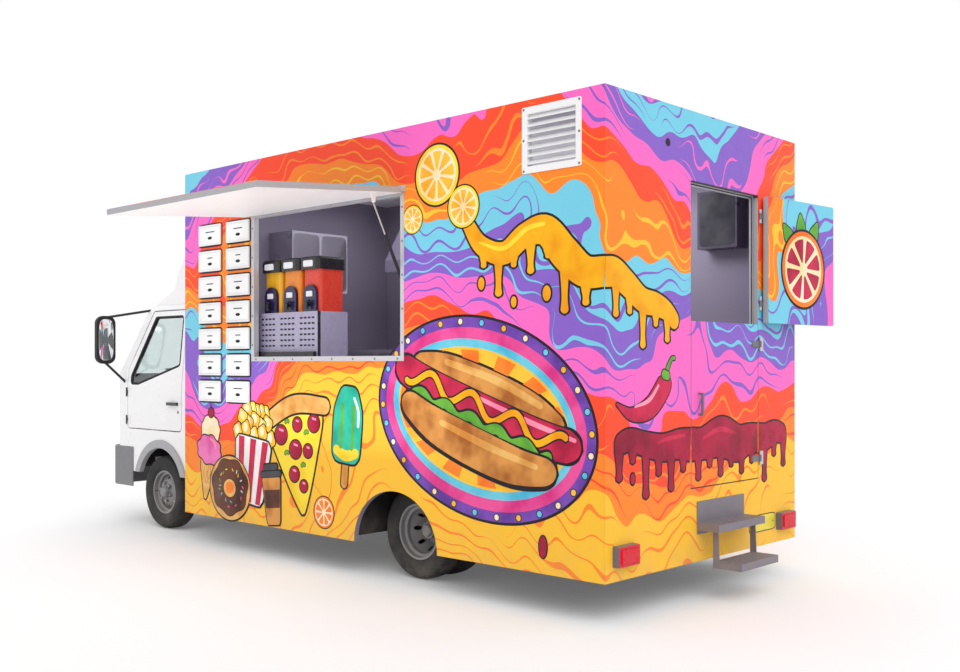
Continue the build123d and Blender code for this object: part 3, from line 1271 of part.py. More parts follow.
# Wheels
def axle_plane(x, y):
    """Plane through a wheel's axis, drawn as x across and the radius up."""
    return Plane(origin=at(x, y, TYRE_RADIUS), x_dir=(1, 0, 0), z_dir=(0, -1, 0))


def axle_line(y):
    """A wheel's axis."""
    return Axis(at(0, y, TYRE_RADIUS), (1, 0, 0))


def tyre(x, y):
    """A tyre: rounded tread shoulders, bulged side walls and beads."""
    half = TYRE_WIDTH / 2
    bead = RIM_HALF - 0.5
    with BuildSketch(axle_plane(x, y)) as section:
        with BuildLine():
            Polyline(
                (-bead, BEAD_RADIUS + 15),
                (-bead, BEAD_RADIUS),
                (bead, BEAD_RADIUS),
                (bead, BEAD_RADIUS + 15),
            )
            ThreePointArc((bead, BEAD_RADIUS + 15), (half, RIM_RADIUS + 66), (half - 12, TYRE_RADIUS - 22))
            Line((half - 12, TYRE_RADIUS - 22), (half - 26, TYRE_RADIUS - 4))
            ThreePointArc((half - 26, TYRE_RADIUS - 4), (0, TYRE_RADIUS), (26 - half, TYRE_RADIUS - 4))
            Line((26 - half, TYRE_RADIUS - 4), (12 - half, TYRE_RADIUS - 22))
            ThreePointArc((12 - half, TYRE_RADIUS - 22), (-half, RIM_RADIUS + 66), (-bead, BEAD_RADIUS + 15))
        make_face()
    revolve(section.sketch, axis=axle_line(y))


def rim(x, y, side, dish):
    """A steel wheel: a drop-centre barrel and a disc dished outboard by dish to its mounting face."""
    half = RIM_HALF
    with BuildSketch(axle_plane(x, y)) as section:
        with BuildLine():
            Polyline(
                (-half, RIM_RADIUS + 14),
                (-half, RIM_RADIUS),
                (-half + 28, RIM_RADIUS),
                (-25, RIM_RADIUS - 20),
                (25, RIM_RADIUS - 20),
                (half - 28, RIM_RADIUS),
                (half, RIM_RADIUS),
                (half, RIM_RADIUS + 14),
                (half + 6, RIM_RADIUS + 14),
                (half + 6, RIM_RADIUS - 7),
                (half - 28, RIM_RADIUS - 7),
                (28, RIM_RADIUS - 27),
                (-28, RIM_RADIUS - 27),
                (-half + 28, RIM_RADIUS - 7),
                (-half - 6, RIM_RADIUS - 7),
                (-half - 6, RIM_RADIUS + 14),
                close=True,
            )
        make_face()
        with BuildLine():
            Polyline(
                (side * 0, RIM_RADIUS - 26),
                (side * dish, 100),
                (side * dish, 30),
                (side * (dish - 8), 30),
                (side * (dish - 8), 100),
                (side * -10, RIM_RADIUS - 26),
                close=True,
            )
        make_face()
    revolve(section.sketch, axis=axle_line(y))
    # Hand holes through the disc
    with BuildSketch(Plane(origin=at(x, y, TYRE_RADIUS), x_dir=(0, 1, 0), z_dir=(1, 0, 0))) as holes:
        with PolarLocations(126, HAND_HOLES):
            Circle(15)
    extrude(holes.sketch, amount=115, both=True, mode=Mode.SUBTRACT)


for name, side in SIDES.items():
    with BuildPart() as front_tyre:
        tyre(side * FRONT_MIDDLE, FRONT_AXLE)
    write(front_tyre, f"front_tyre_{name}")
    with BuildPart() as front_rim:
        rim(side * FRONT_MIDDLE, FRONT_AXLE, side, 45)
        hub = (side * (FRONT_MIDDLE + 0), side * (FRONT_MIDDLE + 70))
        rod((hub[0], FRONT_AXLE, TYRE_RADIUS), (hub[1], FRONT_AXLE, TYRE_RADIUS), 50)
        stub = (side * (FRONT_MIDDLE - 10), side * (FRONT_MIDDLE + 44))
        start, end = (stub[0], FRONT_AXLE, TYRE_RADIUS), (stub[1], FRONT_AXLE, TYRE_RADIUS)
        rod(start, end, 18 + PIN_CLEAR, mode=Mode.SUBTRACT)
    write(front_rim, f"front_rim_{name}")
    with BuildPart() as rear_tyres:
        for tyre_x in (REAR_OUTER, REAR_INNER):
            tyre(side * tyre_x, REAR_AXLE)
    write(rear_tyres, f"rear_tyres_{name}")
    with BuildPart() as rear_rims:
        rim(side * REAR_OUTER, REAR_AXLE, side, REAR_MIDDLE - REAR_OUTER + 8)
        rim(side * REAR_INNER, REAR_AXLE, side, REAR_MIDDLE - REAR_INNER)
        start = (side * (axle_end + 0.3), REAR_AXLE, TYRE_RADIUS)
        end = (side * (REAR_OUTER - 20), REAR_AXLE, TYRE_RADIUS)
        rod(start, end, 55)
    write(rear_rims, f"rear_rims_{name}")

# Engine under the cab platform, propeller shaft, fuel tank, silencer
ENGINE_REAR = CAB_REAR + 120
ENGINE_FRONT = CAB_FRONT - 590
ENGINE_BASE = 400
with BuildPart() as engine_block:
    block((-230, 230), (ENGINE_REAR, ENGINE_FRONT), (ENGINE_BASE, PLATFORM - 60))
    # Mounting lugs reach the webs of the rails
    lug_x = (-RAIL_OUTER + RAIL_WALL, RAIL_OUTER - RAIL_WALL)
    lug_y = (ENGINE_REAR + 320, ENGINE_REAR + 380)
    block(lug_x, lug_y, (RAIL_BASE + 35, RAIL_TOP - 35))
write(engine_block, "engine_block")

with BuildPart() as propeller_shaft:
    rod((0, REAR_AXLE + 180, TYRE_RADIUS), (0, ENGINE_REAR + 10, ENGINE_BASE + 60), 34)
    add(engine_block.part, mode=Mode.SUBTRACT)
    add(rear_axle.part, mode=Mode.SUBTRACT)
write(propeller_shaft, "propeller_shaft")

TANK_SIZE = (340, 750, 230)
TANK_AHEAD = 920
with BuildPart() as fuel_tank:
    tank_top = RAIL_TOP - 30
    tank_y = (REAR_AXLE + TANK_AHEAD, REAR_AXLE + TANK_AHEAD + TANK_SIZE[1])
    block((RAIL_OUTER, RAIL_OUTER + TANK_SIZE[0]), tank_y, (tank_top - TANK_SIZE[2], tank_top))
    fillet(edges().filter_by(Axis.Y), 40)
write(fuel_tank, "fuel_tank")

SILENCER_X = -540
SILENCER_Z = 430
SILENCER_LENGTH = 700
PIPE = 25
with BuildPart() as silencer:
    silencer_rear = REAR_AXLE + 820
    silencer_front = silencer_rear + SILENCER_LENGTH
    rod((SILENCER_X, silencer_rear, SILENCER_Z), (SILENCER_X, silencer_front, SILENCER_Z), 85)
    rod((SILENCER_X, silencer_front, SILENCER_Z), (SILENCER_X, CAB_REAR - 60, SILENCER_Z), PIPE)
    rod((SILENCER_X, silencer_rear, SILENCER_Z), (SILENCER_X, silencer_rear - 250, SILENCER_Z), PIPE)
    for hanger_y in (silencer_rear + 100, silencer_front - 100):
        hanger_z = (SILENCER_Z + 60, SILENCER_Z + 110)
        block((SILENCER_X - 40, -RAIL_OUTER), (hanger_y - 3, hanger_y + 3), hanger_z)
write(silencer, "silencer")
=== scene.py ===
"""Dresses the food truck: printed box body, white cab, kitchen, treaded tyres and studio light.

Metres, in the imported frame: +Y forward, +X to the vehicle's right, +Z up, the ground at zero.
"""
import json
from math import cos, pi, radians, sin

import bmesh
import bpy
import numpy as np
from mathutils import Matrix, Vector
from mathutils.bvhtree import BVHTree


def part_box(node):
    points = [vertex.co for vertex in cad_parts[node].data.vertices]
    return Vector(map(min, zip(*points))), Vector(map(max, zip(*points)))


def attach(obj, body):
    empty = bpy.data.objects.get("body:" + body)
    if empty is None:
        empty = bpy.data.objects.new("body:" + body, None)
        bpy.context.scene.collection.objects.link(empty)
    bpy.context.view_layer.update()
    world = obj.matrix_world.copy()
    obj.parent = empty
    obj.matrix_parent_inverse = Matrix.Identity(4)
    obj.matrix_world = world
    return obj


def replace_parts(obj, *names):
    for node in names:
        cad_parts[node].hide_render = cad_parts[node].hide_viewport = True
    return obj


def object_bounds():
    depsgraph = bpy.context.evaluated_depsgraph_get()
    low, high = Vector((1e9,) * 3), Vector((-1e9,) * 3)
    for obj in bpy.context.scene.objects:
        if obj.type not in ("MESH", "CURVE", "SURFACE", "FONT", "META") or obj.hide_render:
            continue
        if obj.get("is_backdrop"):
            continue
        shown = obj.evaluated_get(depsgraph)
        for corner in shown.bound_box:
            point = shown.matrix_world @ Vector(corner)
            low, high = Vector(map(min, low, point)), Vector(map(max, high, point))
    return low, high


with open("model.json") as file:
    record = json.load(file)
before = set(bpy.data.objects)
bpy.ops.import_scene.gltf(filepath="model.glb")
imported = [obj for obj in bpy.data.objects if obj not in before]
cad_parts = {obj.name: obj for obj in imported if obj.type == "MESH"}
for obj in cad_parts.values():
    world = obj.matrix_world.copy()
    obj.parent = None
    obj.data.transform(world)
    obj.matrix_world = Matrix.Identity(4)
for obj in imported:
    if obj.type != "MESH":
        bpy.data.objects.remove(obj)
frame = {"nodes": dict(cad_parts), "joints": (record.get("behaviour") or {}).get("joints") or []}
CAD_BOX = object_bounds()
NODES = frame["nodes"]
JOINTS = {joint["name"]: joint for joint in frame["joints"]}

# Places read from the frame
WALL_LOW, WALL_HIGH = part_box("left_wall")
LEFT, RIGHT = WALL_LOW.x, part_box("right_wall")[1].x
REAR, BOX_FRONT = WALL_LOW.y, WALL_HIGH.y
BOX_TOP = WALL_HIGH.z
MIDDLE = (LEFT + RIGHT) / 2
PANEL = WALL_HIGH.x - WALL_LOW.x
CAB_LOW, CAB_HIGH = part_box("cab_shell")
# Half the cab's width at its door faces, which lie an inset inside its widest edges
DOOR_INSET = 0.018
CAB_HALF = (CAB_HIGH.x - CAB_LOW.x) / 2 - DOOR_INSET
SLUSH_LOW, SLUSH_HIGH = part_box("slush_machine")
HATCH_LOW, HATCH_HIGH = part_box("hatch_frame")
HATCH_PIN = Vector(JOINTS["hatch_lift"]["pos_m"])
DOOR_PIN = Vector(JOINTS["rear_upper_swing"]["pos_m"])
HATCH_OPEN = radians(-min(JOINTS["hatch_lift"]["range_deg"]))
DOOR_OPEN = radians(-min(JOINTS["rear_upper_swing"]["range_deg"]))

# Places that the frame doesn't give: the doorway's head, the flap's half thickness and the floor's top
DOOR_HEAD = 2.545
FLAP_HALF = 0.020
FLOOR_TOP = 0.68
# How near a face a place counts as lying on it: on the outer walls, and on the thinner panels
NEAR = 0.003
HAIR = 0.002

# The photograph's camera: its heading from straight ahead, its distance from the rear left corner
HEADING = radians(46.95)
CORNER_DISTANCE = 5.862
CORNER_ASIDE = 0.680
EYE_HEIGHT = 1.442
LENS = 40.4
SENSOR_WIDTH = 36
PICTURE_WIDTH = 960
HORIZON_BELOW = 27

# Colours, as sRGB
AMBER = "#FFC536"
ORANGE = "#FF8A2B"
RED = "#FF4F2D"
PINK = "#FF6EC7"
PURPLE = "#8A63C9"
BLUE = "#78D0E8"
LAMP_RED = "#E8102F"
WHITE = "#F4F4F5"
INSIDE_GREY = "#8C8598"
JAMB_GREY = "#B4B2B4"
DUST = "#A79C8C"
BLACK = "#1B1A1D"


def linear(code):
    """An sRGB hex colour as linear values."""
    parts = [int(code[i : i + 2], 16) / 255 for i in (1, 3, 5)]
    return (*[c / 12.92 if c <= 0.04045 else ((c + 0.055) / 1.055) ** 2.4 for c in parts], 1.0)


# Camera
axis = Vector((sin(HEADING), cos(HEADING), 0))
aside = Vector((cos(HEADING), -sin(HEADING), 0))
camera = bpy.data.objects.new("camera", bpy.data.cameras.new("camera"))
camera.data.lens = LENS
camera.data.sensor_width = SENSOR_WIDTH
camera.data.shift_y = HORIZON_BELOW / PICTURE_WIDTH
camera.location = Vector((LEFT, REAR, EYE_HEIGHT)) - axis * CORNER_DISTANCE - aside * CORNER_ASIDE
camera.rotation_euler = (pi / 2, 0, -HEADING)
bpy.context.scene.collection.objects.link(camera)
bpy.context.scene.camera = camera
bpy.context.scene.view_settings.view_transform = "Standard"


# Shader trees
class Tree:
    """A node tree with short calls: each adds a node and gives its output socket."""

    def __init__(self, tree):
        self.nodes, self.links = tree.nodes, tree.links

    def put(self, socket, value):
        """Link a socket to an output, or set its own value, which may be a hex colour."""
        if isinstance(value, bpy.types.NodeSocket):
            self.links.new(value, socket)
        elif value is not None:
            socket.default_value = linear(value) if isinstance(value, str) else value

    def node(self, kind, inputs=(), **settings):
        """A node of a kind with its settings, and its inputs by name or number."""
        node = self.nodes.new("ShaderNode" + kind)
        for key, value in settings.items():
            setattr(node, key, value)
        for key, value in dict(inputs).items():
            self.put(node.inputs[key], value)
        return node

    def math(self, operation, a, b=None, c=None):
        """The result of an operation on up to three values."""
        values = {i: v for i, v in enumerate((a, b, c)) if v is not None}
        return self.node("Math", values, operation=operation).outputs[0]

    def above(self, value, limit):
        """One where a value is above a limit."""
        return self.math("GREATER_THAN", value, limit)

    def below(self, value, limit):
        """One where a value is below a limit."""
        return self.math("LESS_THAN", value, limit)

    def off(self, value, middle):
        """How far a value is from a middle."""
        return self.math("ABSOLUTE", self.math("SUBTRACT", value, middle))

    def both(self, *masks):
        """One where every mask is one."""
        result = masks[0]
        for mask in masks[1:]:
            result = self.math("MULTIPLY", result, mask)
        return result

    def either(self, *masks):
        """One where any mask is one."""
        result = masks[0]
        for mask in masks[1:]:
            result = self.math("MAXIMUM", result, mask)
        return result

    def mix(self, factor, a, b):
        """A colour between a and b."""
        node = self.node("Mix", data_type="RGBA")
        for socket, value in ((node.inputs[0], factor), (node.inputs[6], a), (node.inputs[7], b)):
            self.put(socket, value)
        return node.outputs[2]

    def choose(self, factor, a, b):
        """A vector between a and b."""
        node = self.node("Mix", data_type="VECTOR")
        for socket, value in ((node.inputs[0], factor), (node.inputs[4], a), (node.inputs[5], b)):
            self.put(socket, value)
        return node.outputs[1]

    def noise(self, vector, scale, detail=2.0, roughness=0.5):
        """Soft noise about a half, at a scale."""
        inputs = {"Vector": vector, "Scale": scale, "Detail": detail, "Roughness": roughness}
        return self.node("TexNoise", inputs).outputs[0]

    def spread(self, value, low, high, to_low=0.0, to_high=1.0):
        """A value carried from one range to another, clamped."""
        return self.node("MapRange", {0: value, 1: low, 2: high, 3: to_low, 4: to_high}).outputs[0]

    def parts(self, vector):
        """A vector's three parts."""
        return self.node("SeparateXYZ", {0: vector}).outputs

    def place(self):
        """The place on the object, in the frame."""
        return self.node("TexCoord").outputs["Object"]

    def turned(self, vector, pivot, angle, about):
        """A place turned about a pivot by an angle round the X, Y or Z axis."""
        shift = Vector(pivot) - Matrix.Rotation(angle, 3, about) @ Vector(pivot)
        spin = [angle if name == about else 0 for name in "XYZ"]
        return self.node("Mapping", {"Vector": vector, "Location": shift, "Rotation": spin}).outputs[0]

    def steps(self, value, colours, first=0.0, width=1.0):
        """Colours in equal steps of a value that runs from first, one width each."""
        share = self.spread(value, first, first + width * len(colours))
        ramp = self.node("ValToRGB", {0: share})
        ramp.color_ramp.interpolation = "CONSTANT"
        stops = ramp.color_ramp.elements
        stops.remove(stops[-1])
        stops[0].position, stops[0].color = 0, linear(colours[0])
        for i, code in enumerate(colours[1:], 1):
            stops.new(i / len(colours)).color = linear(code)
        return ramp.outputs[0]

    def use(self, tree, inputs):
        """Place a shader group and give its outputs."""
        node = self.nodes.new("ShaderNodeGroup")
        node.node_tree = tree
        for key, value in inputs.items():
            self.put(node.inputs[key], value)
        return node.outputs


def group(name, inputs, outputs):
    """A new shader group with named sockets: its tree, its inputs inside and its output node's sockets."""
    tree = bpy.data.node_groups.new(name, "ShaderNodeTree")
    kinds = {"colour": "NodeSocketColor", "value": "NodeSocketFloat", "vector": "NodeSocketVector"}
    for way, sockets in (("INPUT", inputs), ("OUTPUT", outputs)):
        for label, kind in sockets.items():
            tree.interface.new_socket(label, in_out=way, socket_type=kinds[kind])
    source, target = tree.nodes.new("NodeGroupInput"), tree.nodes.new("NodeGroupOutput")
    return tree, Tree(tree), source.outputs, target.inputs


FOLD_LOW = 0.62
BAND_WIDTH = 0.27
# The fold's long waves, as turns along and up, phase and height, and its noise, as scale, height and shift
FOLD_WAVES = ((1.25, 0, 0.6, 0.42), (2.3, 1.7, 1.0, 0.20))
FOLD_NOISE = ((0.9, 1.1, 0), (2.2, 0.32, 7))
# The thin lines inside each band, as place and width, in bands
BAND_LINES = ((0.26, 0.045), (0.72, 0.032))
BAND_COLOURS = (
    *(AMBER, AMBER, ORANGE, RED, PINK, PURPLE, BLUE, ORANGE),
    *(RED, PINK, PURPLE, BLUE, PURPLE, PINK, ORANGE),
)
LINE_COLOURS = (
    *(ORANGE, ORANGE, RED, ORANGE, PURPLE, BLUE, PURPLE, AMBER),
    *(ORANGE, PURPLE, PINK, PURPLE, PINK, PURPLE, RED),
)


def make_livery_bands():
    """Wavy bands of colour round the whole body.

    The height is folded by long waves and noise of the way round and cut into bands, with thin lines inside
    them. The way round is x less y, with x turned about the left side on the front wall, so that it runs on
    past every corner but the right front one.
    """
    tree, t, source, target = group("livery bands", {"Place": "vector"}, {"Colour": "colour"})
    x, y, z = t.parts(source["Place"])
    on_front = t.above(y, BOX_FRONT - NEAR)
    x = t.math("ADD", x, t.math("MULTIPLY", on_front, t.math("MULTIPLY_ADD", x, -2.0, 2 * LEFT)))
    way_round = t.math("ADD", t.math("SUBTRACT", x, y), REAR - LEFT)
    flat = t.node("CombineXYZ", {0: way_round, 1: z}).outputs[0]

    def wave(along, up, phase, height):
        """A sine of the way round and the height."""
        angle = t.math("MULTIPLY_ADD", way_round, along, phase)
        angle = t.math("MULTIPLY_ADD", z, up, angle) if up else angle
        return t.math("MULTIPLY", t.math("SINE", angle), height)

    def drift(scale, height, shift):
        """Noise about nought on the unrolled walls."""
        place = t.node("Mapping", {"Vector": flat, "Location": (shift, 0, 0)}).outputs[0]
        return t.math("MULTIPLY", t.math("SUBTRACT", t.noise(place, scale, detail=0.0), 0.5), height)

    fold = z
    for part in (*(wave(*shape) for shape in FOLD_WAVES), *(drift(*shape) for shape in FOLD_NOISE)):
        fold = t.math("ADD", fold, part)
    bands = t.math("DIVIDE", t.math("SUBTRACT", fold, FOLD_LOW), BAND_WIDTH)
    lively = t.spread(drift(1.3, 2.0, 3), -0.3, 0.3, 0.3, 1.2)
    crest = t.math("SINE", t.math("MULTIPLY_ADD", way_round, 16, wave(0.9, 2.1, 0, 5.0)))
    ripple = t.math("MULTIPLY", t.math("MULTIPLY", crest, 0.16), lively)
    bands = t.math("ADD", t.math("ADD", bands, ripple), drift(6, 0.3, 11))
    colour = t.steps(bands, BAND_COLOURS, first=-1.0)
    lines = t.steps(bands, LINE_COLOURS, first=-1.0)
    wobble = t.math("ADD", t.math("ADD", bands, wave(26, 3, 0, 0.09)), drift(5, 0.45, 17))
    share = t.math("FRACT", wobble)
    thick = t.spread(drift(1.7, 1.0, 23), -0.13, 0.02)
    marks = [t.below(t.off(share, place), t.math("MULTIPLY", thick, width)) for place, width in BAND_LINES]
    t.put(target["Colour"], t.mix(t.either(*marks), colour, lines))
    return tree


def make_tone():
    """A colour whose brightness varies with broad and fine noise, under dust low down and on level faces."""
    inputs = {"Place": "vector", "Colour": "colour", "Vary": "value", "Dust": "value"}
    tree, t, source, target = group("tone and dust", inputs, {"Colour": "colour"})
    broad = t.noise(source["Place"], 3.1, detail=4.0)
    fine = t.noise(source["Place"], 38.0, detail=3.0)
    shade = t.math("ADD", t.math("MULTIPLY", broad, 0.65), t.math("MULTIPLY", fine, 0.35))
    bright = t.math("MULTIPLY_ADD", t.math("SUBTRACT", shade, 0.5), source["Vary"], 1.0)
    toned = t.node("HueSaturation", {"Value": bright, "Color": source["Colour"]}).outputs[0]
    low = t.spread(t.parts(source["Place"])[2], 0.75, 0.1)
    upward = t.spread(t.parts(t.node("NewGeometry").outputs["Normal"])[2], 0.75, 1.0, 0.0, 0.45)
    patches = t.spread(t.noise(source["Place"], 7.0, detail=6.0, roughness=0.65), 0.38, 0.68)
    where = t.either(t.both(low, low), upward)
    t.put(target["Colour"], t.mix(t.both(where, patches, source["Dust"]), toned, DUST))
    return tree


def make_grain():
    """Fine pits and slow waves of a moulded or painted face, as a height, with a mask for its roughness."""
    inputs = {"Place": "vector", "Scale": "value", "Waves": "value"}
    tree, t, source, target = group("surface grain", inputs, {"Height": "value", "Mask": "value"})
    pits = t.noise(source["Place"], source["Scale"], detail=2.0, roughness=0.6)
    slow = t.noise(source["Place"], 9.0, detail=1.0)
    t.put(target["Height"], t.math("MULTIPLY_ADD", slow, source["Waves"], pits))
    t.put(target["Mask"], t.noise(source["Place"], 14.0, detail=5.0, roughness=0.7))
    return tree


def make_wear():
    """Edge wear: where the rounded normal leaves the true one, broken up by noise."""
    tree, t, source, target = group("edge wear", {"Place": "vector", "Amount": "value"}, {"Mask": "value"})
    rounded = t.node("Bevel", {"Radius": 0.004}, samples=4).outputs[0]
    true = t.node("NewGeometry").outputs["True Normal"]
    dot = t.node("VectorMath", {0: rounded, 1: true}, operation="DOT_PRODUCT").outputs["Value"]
    edge = t.spread(t.math("SUBTRACT", 1.0, dot), 0.03, 0.22)
    chips = t.spread(t.noise(source["Place"], 60.0, detail=6.0, roughness=0.75), 0.5, 0.62)
    t.put(target["Mask"], t.both(edge, chips, source["Amount"]))
    return tree


def make_brushed():
    """Brush marks: noise drawn out along the vehicle, as a height, with a mask of wiped patches."""
    tree, t, source, target = group("brush marks", {"Place": "vector"}, {"Height": "value", "Mask": "value"})
    drawn = t.node("Mapping", {"Vector": source["Place"], "Scale": (700, 12, 700)}).outputs[0]
    t.put(target["Height"], t.noise(drawn, 1.0, detail=3.0))
    t.put(target["Mask"], t.noise(source["Place"], 6.0, detail=5.0))
    return tree


def make_weave():
    """A plain weave: the threads' heights are sines of two directions whose product changes sign from one
    crossing to the next."""
    inputs = {"Place": "vector", "Count": "value"}
    tree, t, source, target = group("cloth weave", inputs, {"Height": "value"})
    x, y, z = t.parts(source["Place"])
    across = t.math("SINE", t.math("MULTIPLY", t.math("ADD", x, z), source["Count"]))
    along = t.math("SINE", t.math("MULTIPLY", t.math("ADD", y, z), source["Count"]))
    t.put(target["Height"], t.math("MULTIPLY_ADD", t.math("MULTIPLY", across, along), 0.5, 0.5))
    return tree


livery_bands, tone, grain = make_livery_bands(), make_tone(), make_grain()
wear, brushed, weave = make_wear(), make_brushed(), make_weave()


# Materials
class Finish:
    """A material on the Principled shader whose colour, roughness and bump come from the shared groups."""

    def __init__(self, name, rough=0.5, metallic=0.0, coat=0.0, **sockets):
        self.material = bpy.data.materials.new(name)
        self.material.use_nodes = True
        self.t = Tree(self.material.node_tree)
        self.t.nodes.clear()
        self.at = self.t.place()
        self.shader = self.t.node("BsdfPrincipled")
        output = self.t.node("OutputMaterial")
        self.t.put(output.inputs["Surface"], self.shader.outputs[0])
        self.rough = rough
        self.set("Roughness", rough)
        self.set("Metallic", metallic)
        self.set("Coat Weight", coat)
        for key, value in sockets.items():
            self.set(key.replace("_", " "), value)

    def set(self, socket, value):
        """Link or set one of the shader's sockets."""
        self.t.put(self.shader.inputs[socket], value)

    def paint(self, colour, vary=0.10, dust=0.5, scuff=0.0, scuff_colour="#9A9A9A"):
        """Base colour: a tone of the colour, road dust and, where scuff is above nought, worn edges."""
        out = self.t.use(tone, {"Place": self.at, "Colour": colour, "Vary": vary, "Dust": dust})
        shown = out["Colour"]
        if scuff:
            mask = self.t.use(wear, {"Place": self.at, "Amount": scuff})["Mask"]
            shown = self.t.mix(mask, shown, scuff_colour)
        self.set("Base Color", shown)
        return self

    def surface(
        self, scale=600.0, waves=0.0, depth=0.0004, swing=0.12, soft=0.003, weave_count=0, brush=False
    ):
        """Bump and roughness: pits at a scale, or a weave or brush marks, on edges that look rounded."""
        if weave_count:
            height = self.t.use(weave, {"Place": self.at, "Count": weave_count})["Height"]
            mask = self.t.noise(self.at, 12.0, detail=4.0)
        else:
            extra = {} if brush else {"Scale": scale, "Waves": waves}
            out = self.t.use(brushed if brush else grain, {"Place": self.at, **extra})
            height, mask = out["Height"], out["Mask"]
        rounded = self.t.node("Bevel", {"Radius": soft}, samples=4).outputs[0]
        bump = self.t.node("Bump", {"Height": height, "Distance": depth, "Normal": rounded})
        self.set("Normal", bump.outputs[0])
        low, high = max(self.rough - swing, 0.02), min(self.rough + swing, 1)
        self.set("Roughness", self.t.spread(mask, 0.3, 0.7, low, high))
        return self


# Materials by name, the dull gloss of the wrap's film, and colours that more than one of them has
M = {}
WRAP_GLOSS = 0.22
# A darker grey, painted on the doorway's head as shade
HEAD_SHADE_GREY = "#5A5A5C"
FOOT_WELL = "#3C3B3F"


def livery_body():
    """The printed wrap outside, grey wall lining inside, and a paler jamb round the rear doorway, whose head
    is painted darker grey as shade.
    """
    finish = Finish("livery_body", rough=0.4, Specular_IOR_Level=WRAP_GLOSS)
    t = finish.t
    x, y, z = t.parts(finish.at)
    off = t.off(x, MIDDLE)
    half = (RIGHT - LEFT) / 2
    outside = t.either(t.above(off, half - NEAR), t.below(y, REAR + NEAR), t.above(y, BOX_FRONT - NEAR))
    under_roof = t.below(z, BOX_TOP - 0.05)
    jamb = t.both(t.below(y, REAR + PANEL - HAIR), t.below(off, half - PANEL), under_roof)
    # The doorway's head, which faces down, is painted darker grey as shade
    reveal = t.mix(t.above(z, DOOR_HEAD - 0.015), JAMB_GREY, HEAD_SHADE_GREY)
    shown = t.mix(jamb, INSIDE_GREY, reveal)
    shown = t.mix(outside, shown, t.use(livery_bands, {"Place": finish.at})["Colour"])
    finish.paint(shown, vary=0.06, dust=0.3)
    M["livery_body"] = finish.surface(scale=420, waves=3, depth=0.0005).material


def livery_flap():
    """The wrap on the flap's outer face, as it lies when the flap is shut, and white at its edges."""
    finish = Finish("livery_flap", rough=0.4, Specular_IOR_Level=WRAP_GLOSS)
    t = finish.t
    shut = t.turned(finish.at, HATCH_PIN, -HATCH_OPEN, "Y")
    x, y, _ = t.parts(shut)
    low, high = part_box("hatch_flap")
    outer = t.below(x, HATCH_PIN.x - FLAP_HALF + HAIR)
    inner = t.above(x, HATCH_PIN.x + FLAP_HALF - HAIR)
    within = t.math("SUBTRACT", 1.0, t.above(t.off(y, (low.y + high.y) / 2), (high.y - low.y) / 2 - NEAR))
    colour = t.use(livery_bands, {"Place": shut})["Colour"]
    shown = t.mix(inner, "#B0AEB1", "#FAFAFB")
    shown = t.mix(t.both(outer, within), shown, colour)
    M["livery_flap"] = finish.paint(shown, vary=0.04, dust=0.15).surface(scale=420, waves=3).material


def livery_leaf(name, angle):
    """The wrap on a rear door leaf: its outer face as it lies shut, its inner face as it stands open."""
    finish = Finish(name, rough=0.4, Specular_IOR_Level=WRAP_GLOSS)
    t = finish.t
    shut = t.turned(finish.at, DOOR_PIN, -angle, "Z")
    y = t.parts(shut)[1]
    outer = t.below(y, REAR + HAIR)
    inner = t.above(y, REAR + PANEL - HAIR)
    colour = t.use(livery_bands, {"Place": t.choose(outer, finish.at, shut)})["Colour"]
    shown = t.mix(t.either(outer, inner), JAMB_GREY, colour)
    shown = t.mix(t.below(y, REAR - HAIR), shown, "#77757A")
    M[name] = finish.paint(shown, vary=0.06, dust=0.3).surface(scale=420, waves=3).material


def plain(name, colour, rough=0.5, metallic=0.0, coat=0.0, paint=(), surface=(), **sockets):
    """A material of one main colour, kept by its name."""
    finish = Finish(name, rough, metallic, coat, **sockets)
    finish.paint(colour, **dict(paint)).surface(**dict(surface))
    M[name] = finish.material


livery_body()
livery_flap()
livery_leaf("leaf_upper", DOOR_OPEN)
livery_leaf("leaf_lower", 0.0)
plain("roof_white", WHITE, 0.42, coat=0.15, paint={"dust": 0.7}, surface={"scale": 300, "waves": 4})
plain("alloy", "#C9C8CC", 0.38, metallic=0.3, paint={"dust": 0.3}, surface={"brush": True, "depth": 0.0002})
plain("trim_white", WHITE, 0.4, coat=0.2, paint={"vary": 0.05, "dust": 0.2}, surface={"scale": 500})
plain("card_white", "#FBFBFB", 0.45, coat=0.2, paint={"vary": 0.05, "dust": 0.1}, surface={"scale": 900})
MOULDED = {"scale": 1300, "depth": 0.0006}
plain("bumper", "#828285", 0.68, paint={"dust": 0.6}, surface={**MOULDED, "soft": 0.006})
plain("flare", "#AFAFB2", 0.66, paint={"dust": 0.5}, surface={**MOULDED, "soft": 0.008})
plain("black", BLACK, 0.55, paint={"dust": 0.25, "vary": 0.3}, surface={"scale": 1100, "depth": 0.0005})
plain("rubber", "#161517", 0.72, paint={"dust": 0.2, "vary": 0.3}, surface={"scale": 900, "depth": 0.0004})
plain("tyre", "#262627", 0.82, paint={"dust": 0.25, "vary": 0.4}, surface={"scale": 800, "depth": 0.0008})
plain("rim", "#8B8B8E", 0.45, metallic=0.2, paint={"dust": 0.7, "scuff": 0.7}, surface={"scale": 500})
plain("nut", "#8E8E90", 0.35, metallic=0.9, paint={"dust": 0.8, "scuff": 0.5}, surface={"scale": 900})
plain(
    "chassis",
    "#26262A",
    0.6,
    paint={"dust": 1.0, "scuff": 0.5, "vary": 0.4},
    surface={"scale": 350, "depth": 0.001},
)
plain("casting", "#5B5C60", 0.7, metallic=0.35, paint={"dust": 1.0}, surface={"scale": 260, "depth": 0.0016})
plain("steps", "#827C85", 0.55, metallic=0.15, paint={"dust": 0.5, "scuff": 0.9}, surface={"scale": 400})
plain(
    "steel",
    "#A9A6AE",
    0.32,
    metallic=0.8,
    paint={"dust": 0.02, "vary": 0.04},
    surface={"brush": True, "depth": 0.00025, "swing": 0.05},
)
plain("hood_steel", "#827B93", 0.42, metallic=0.3, paint={"dust": 0.1}, surface={"brush": True})
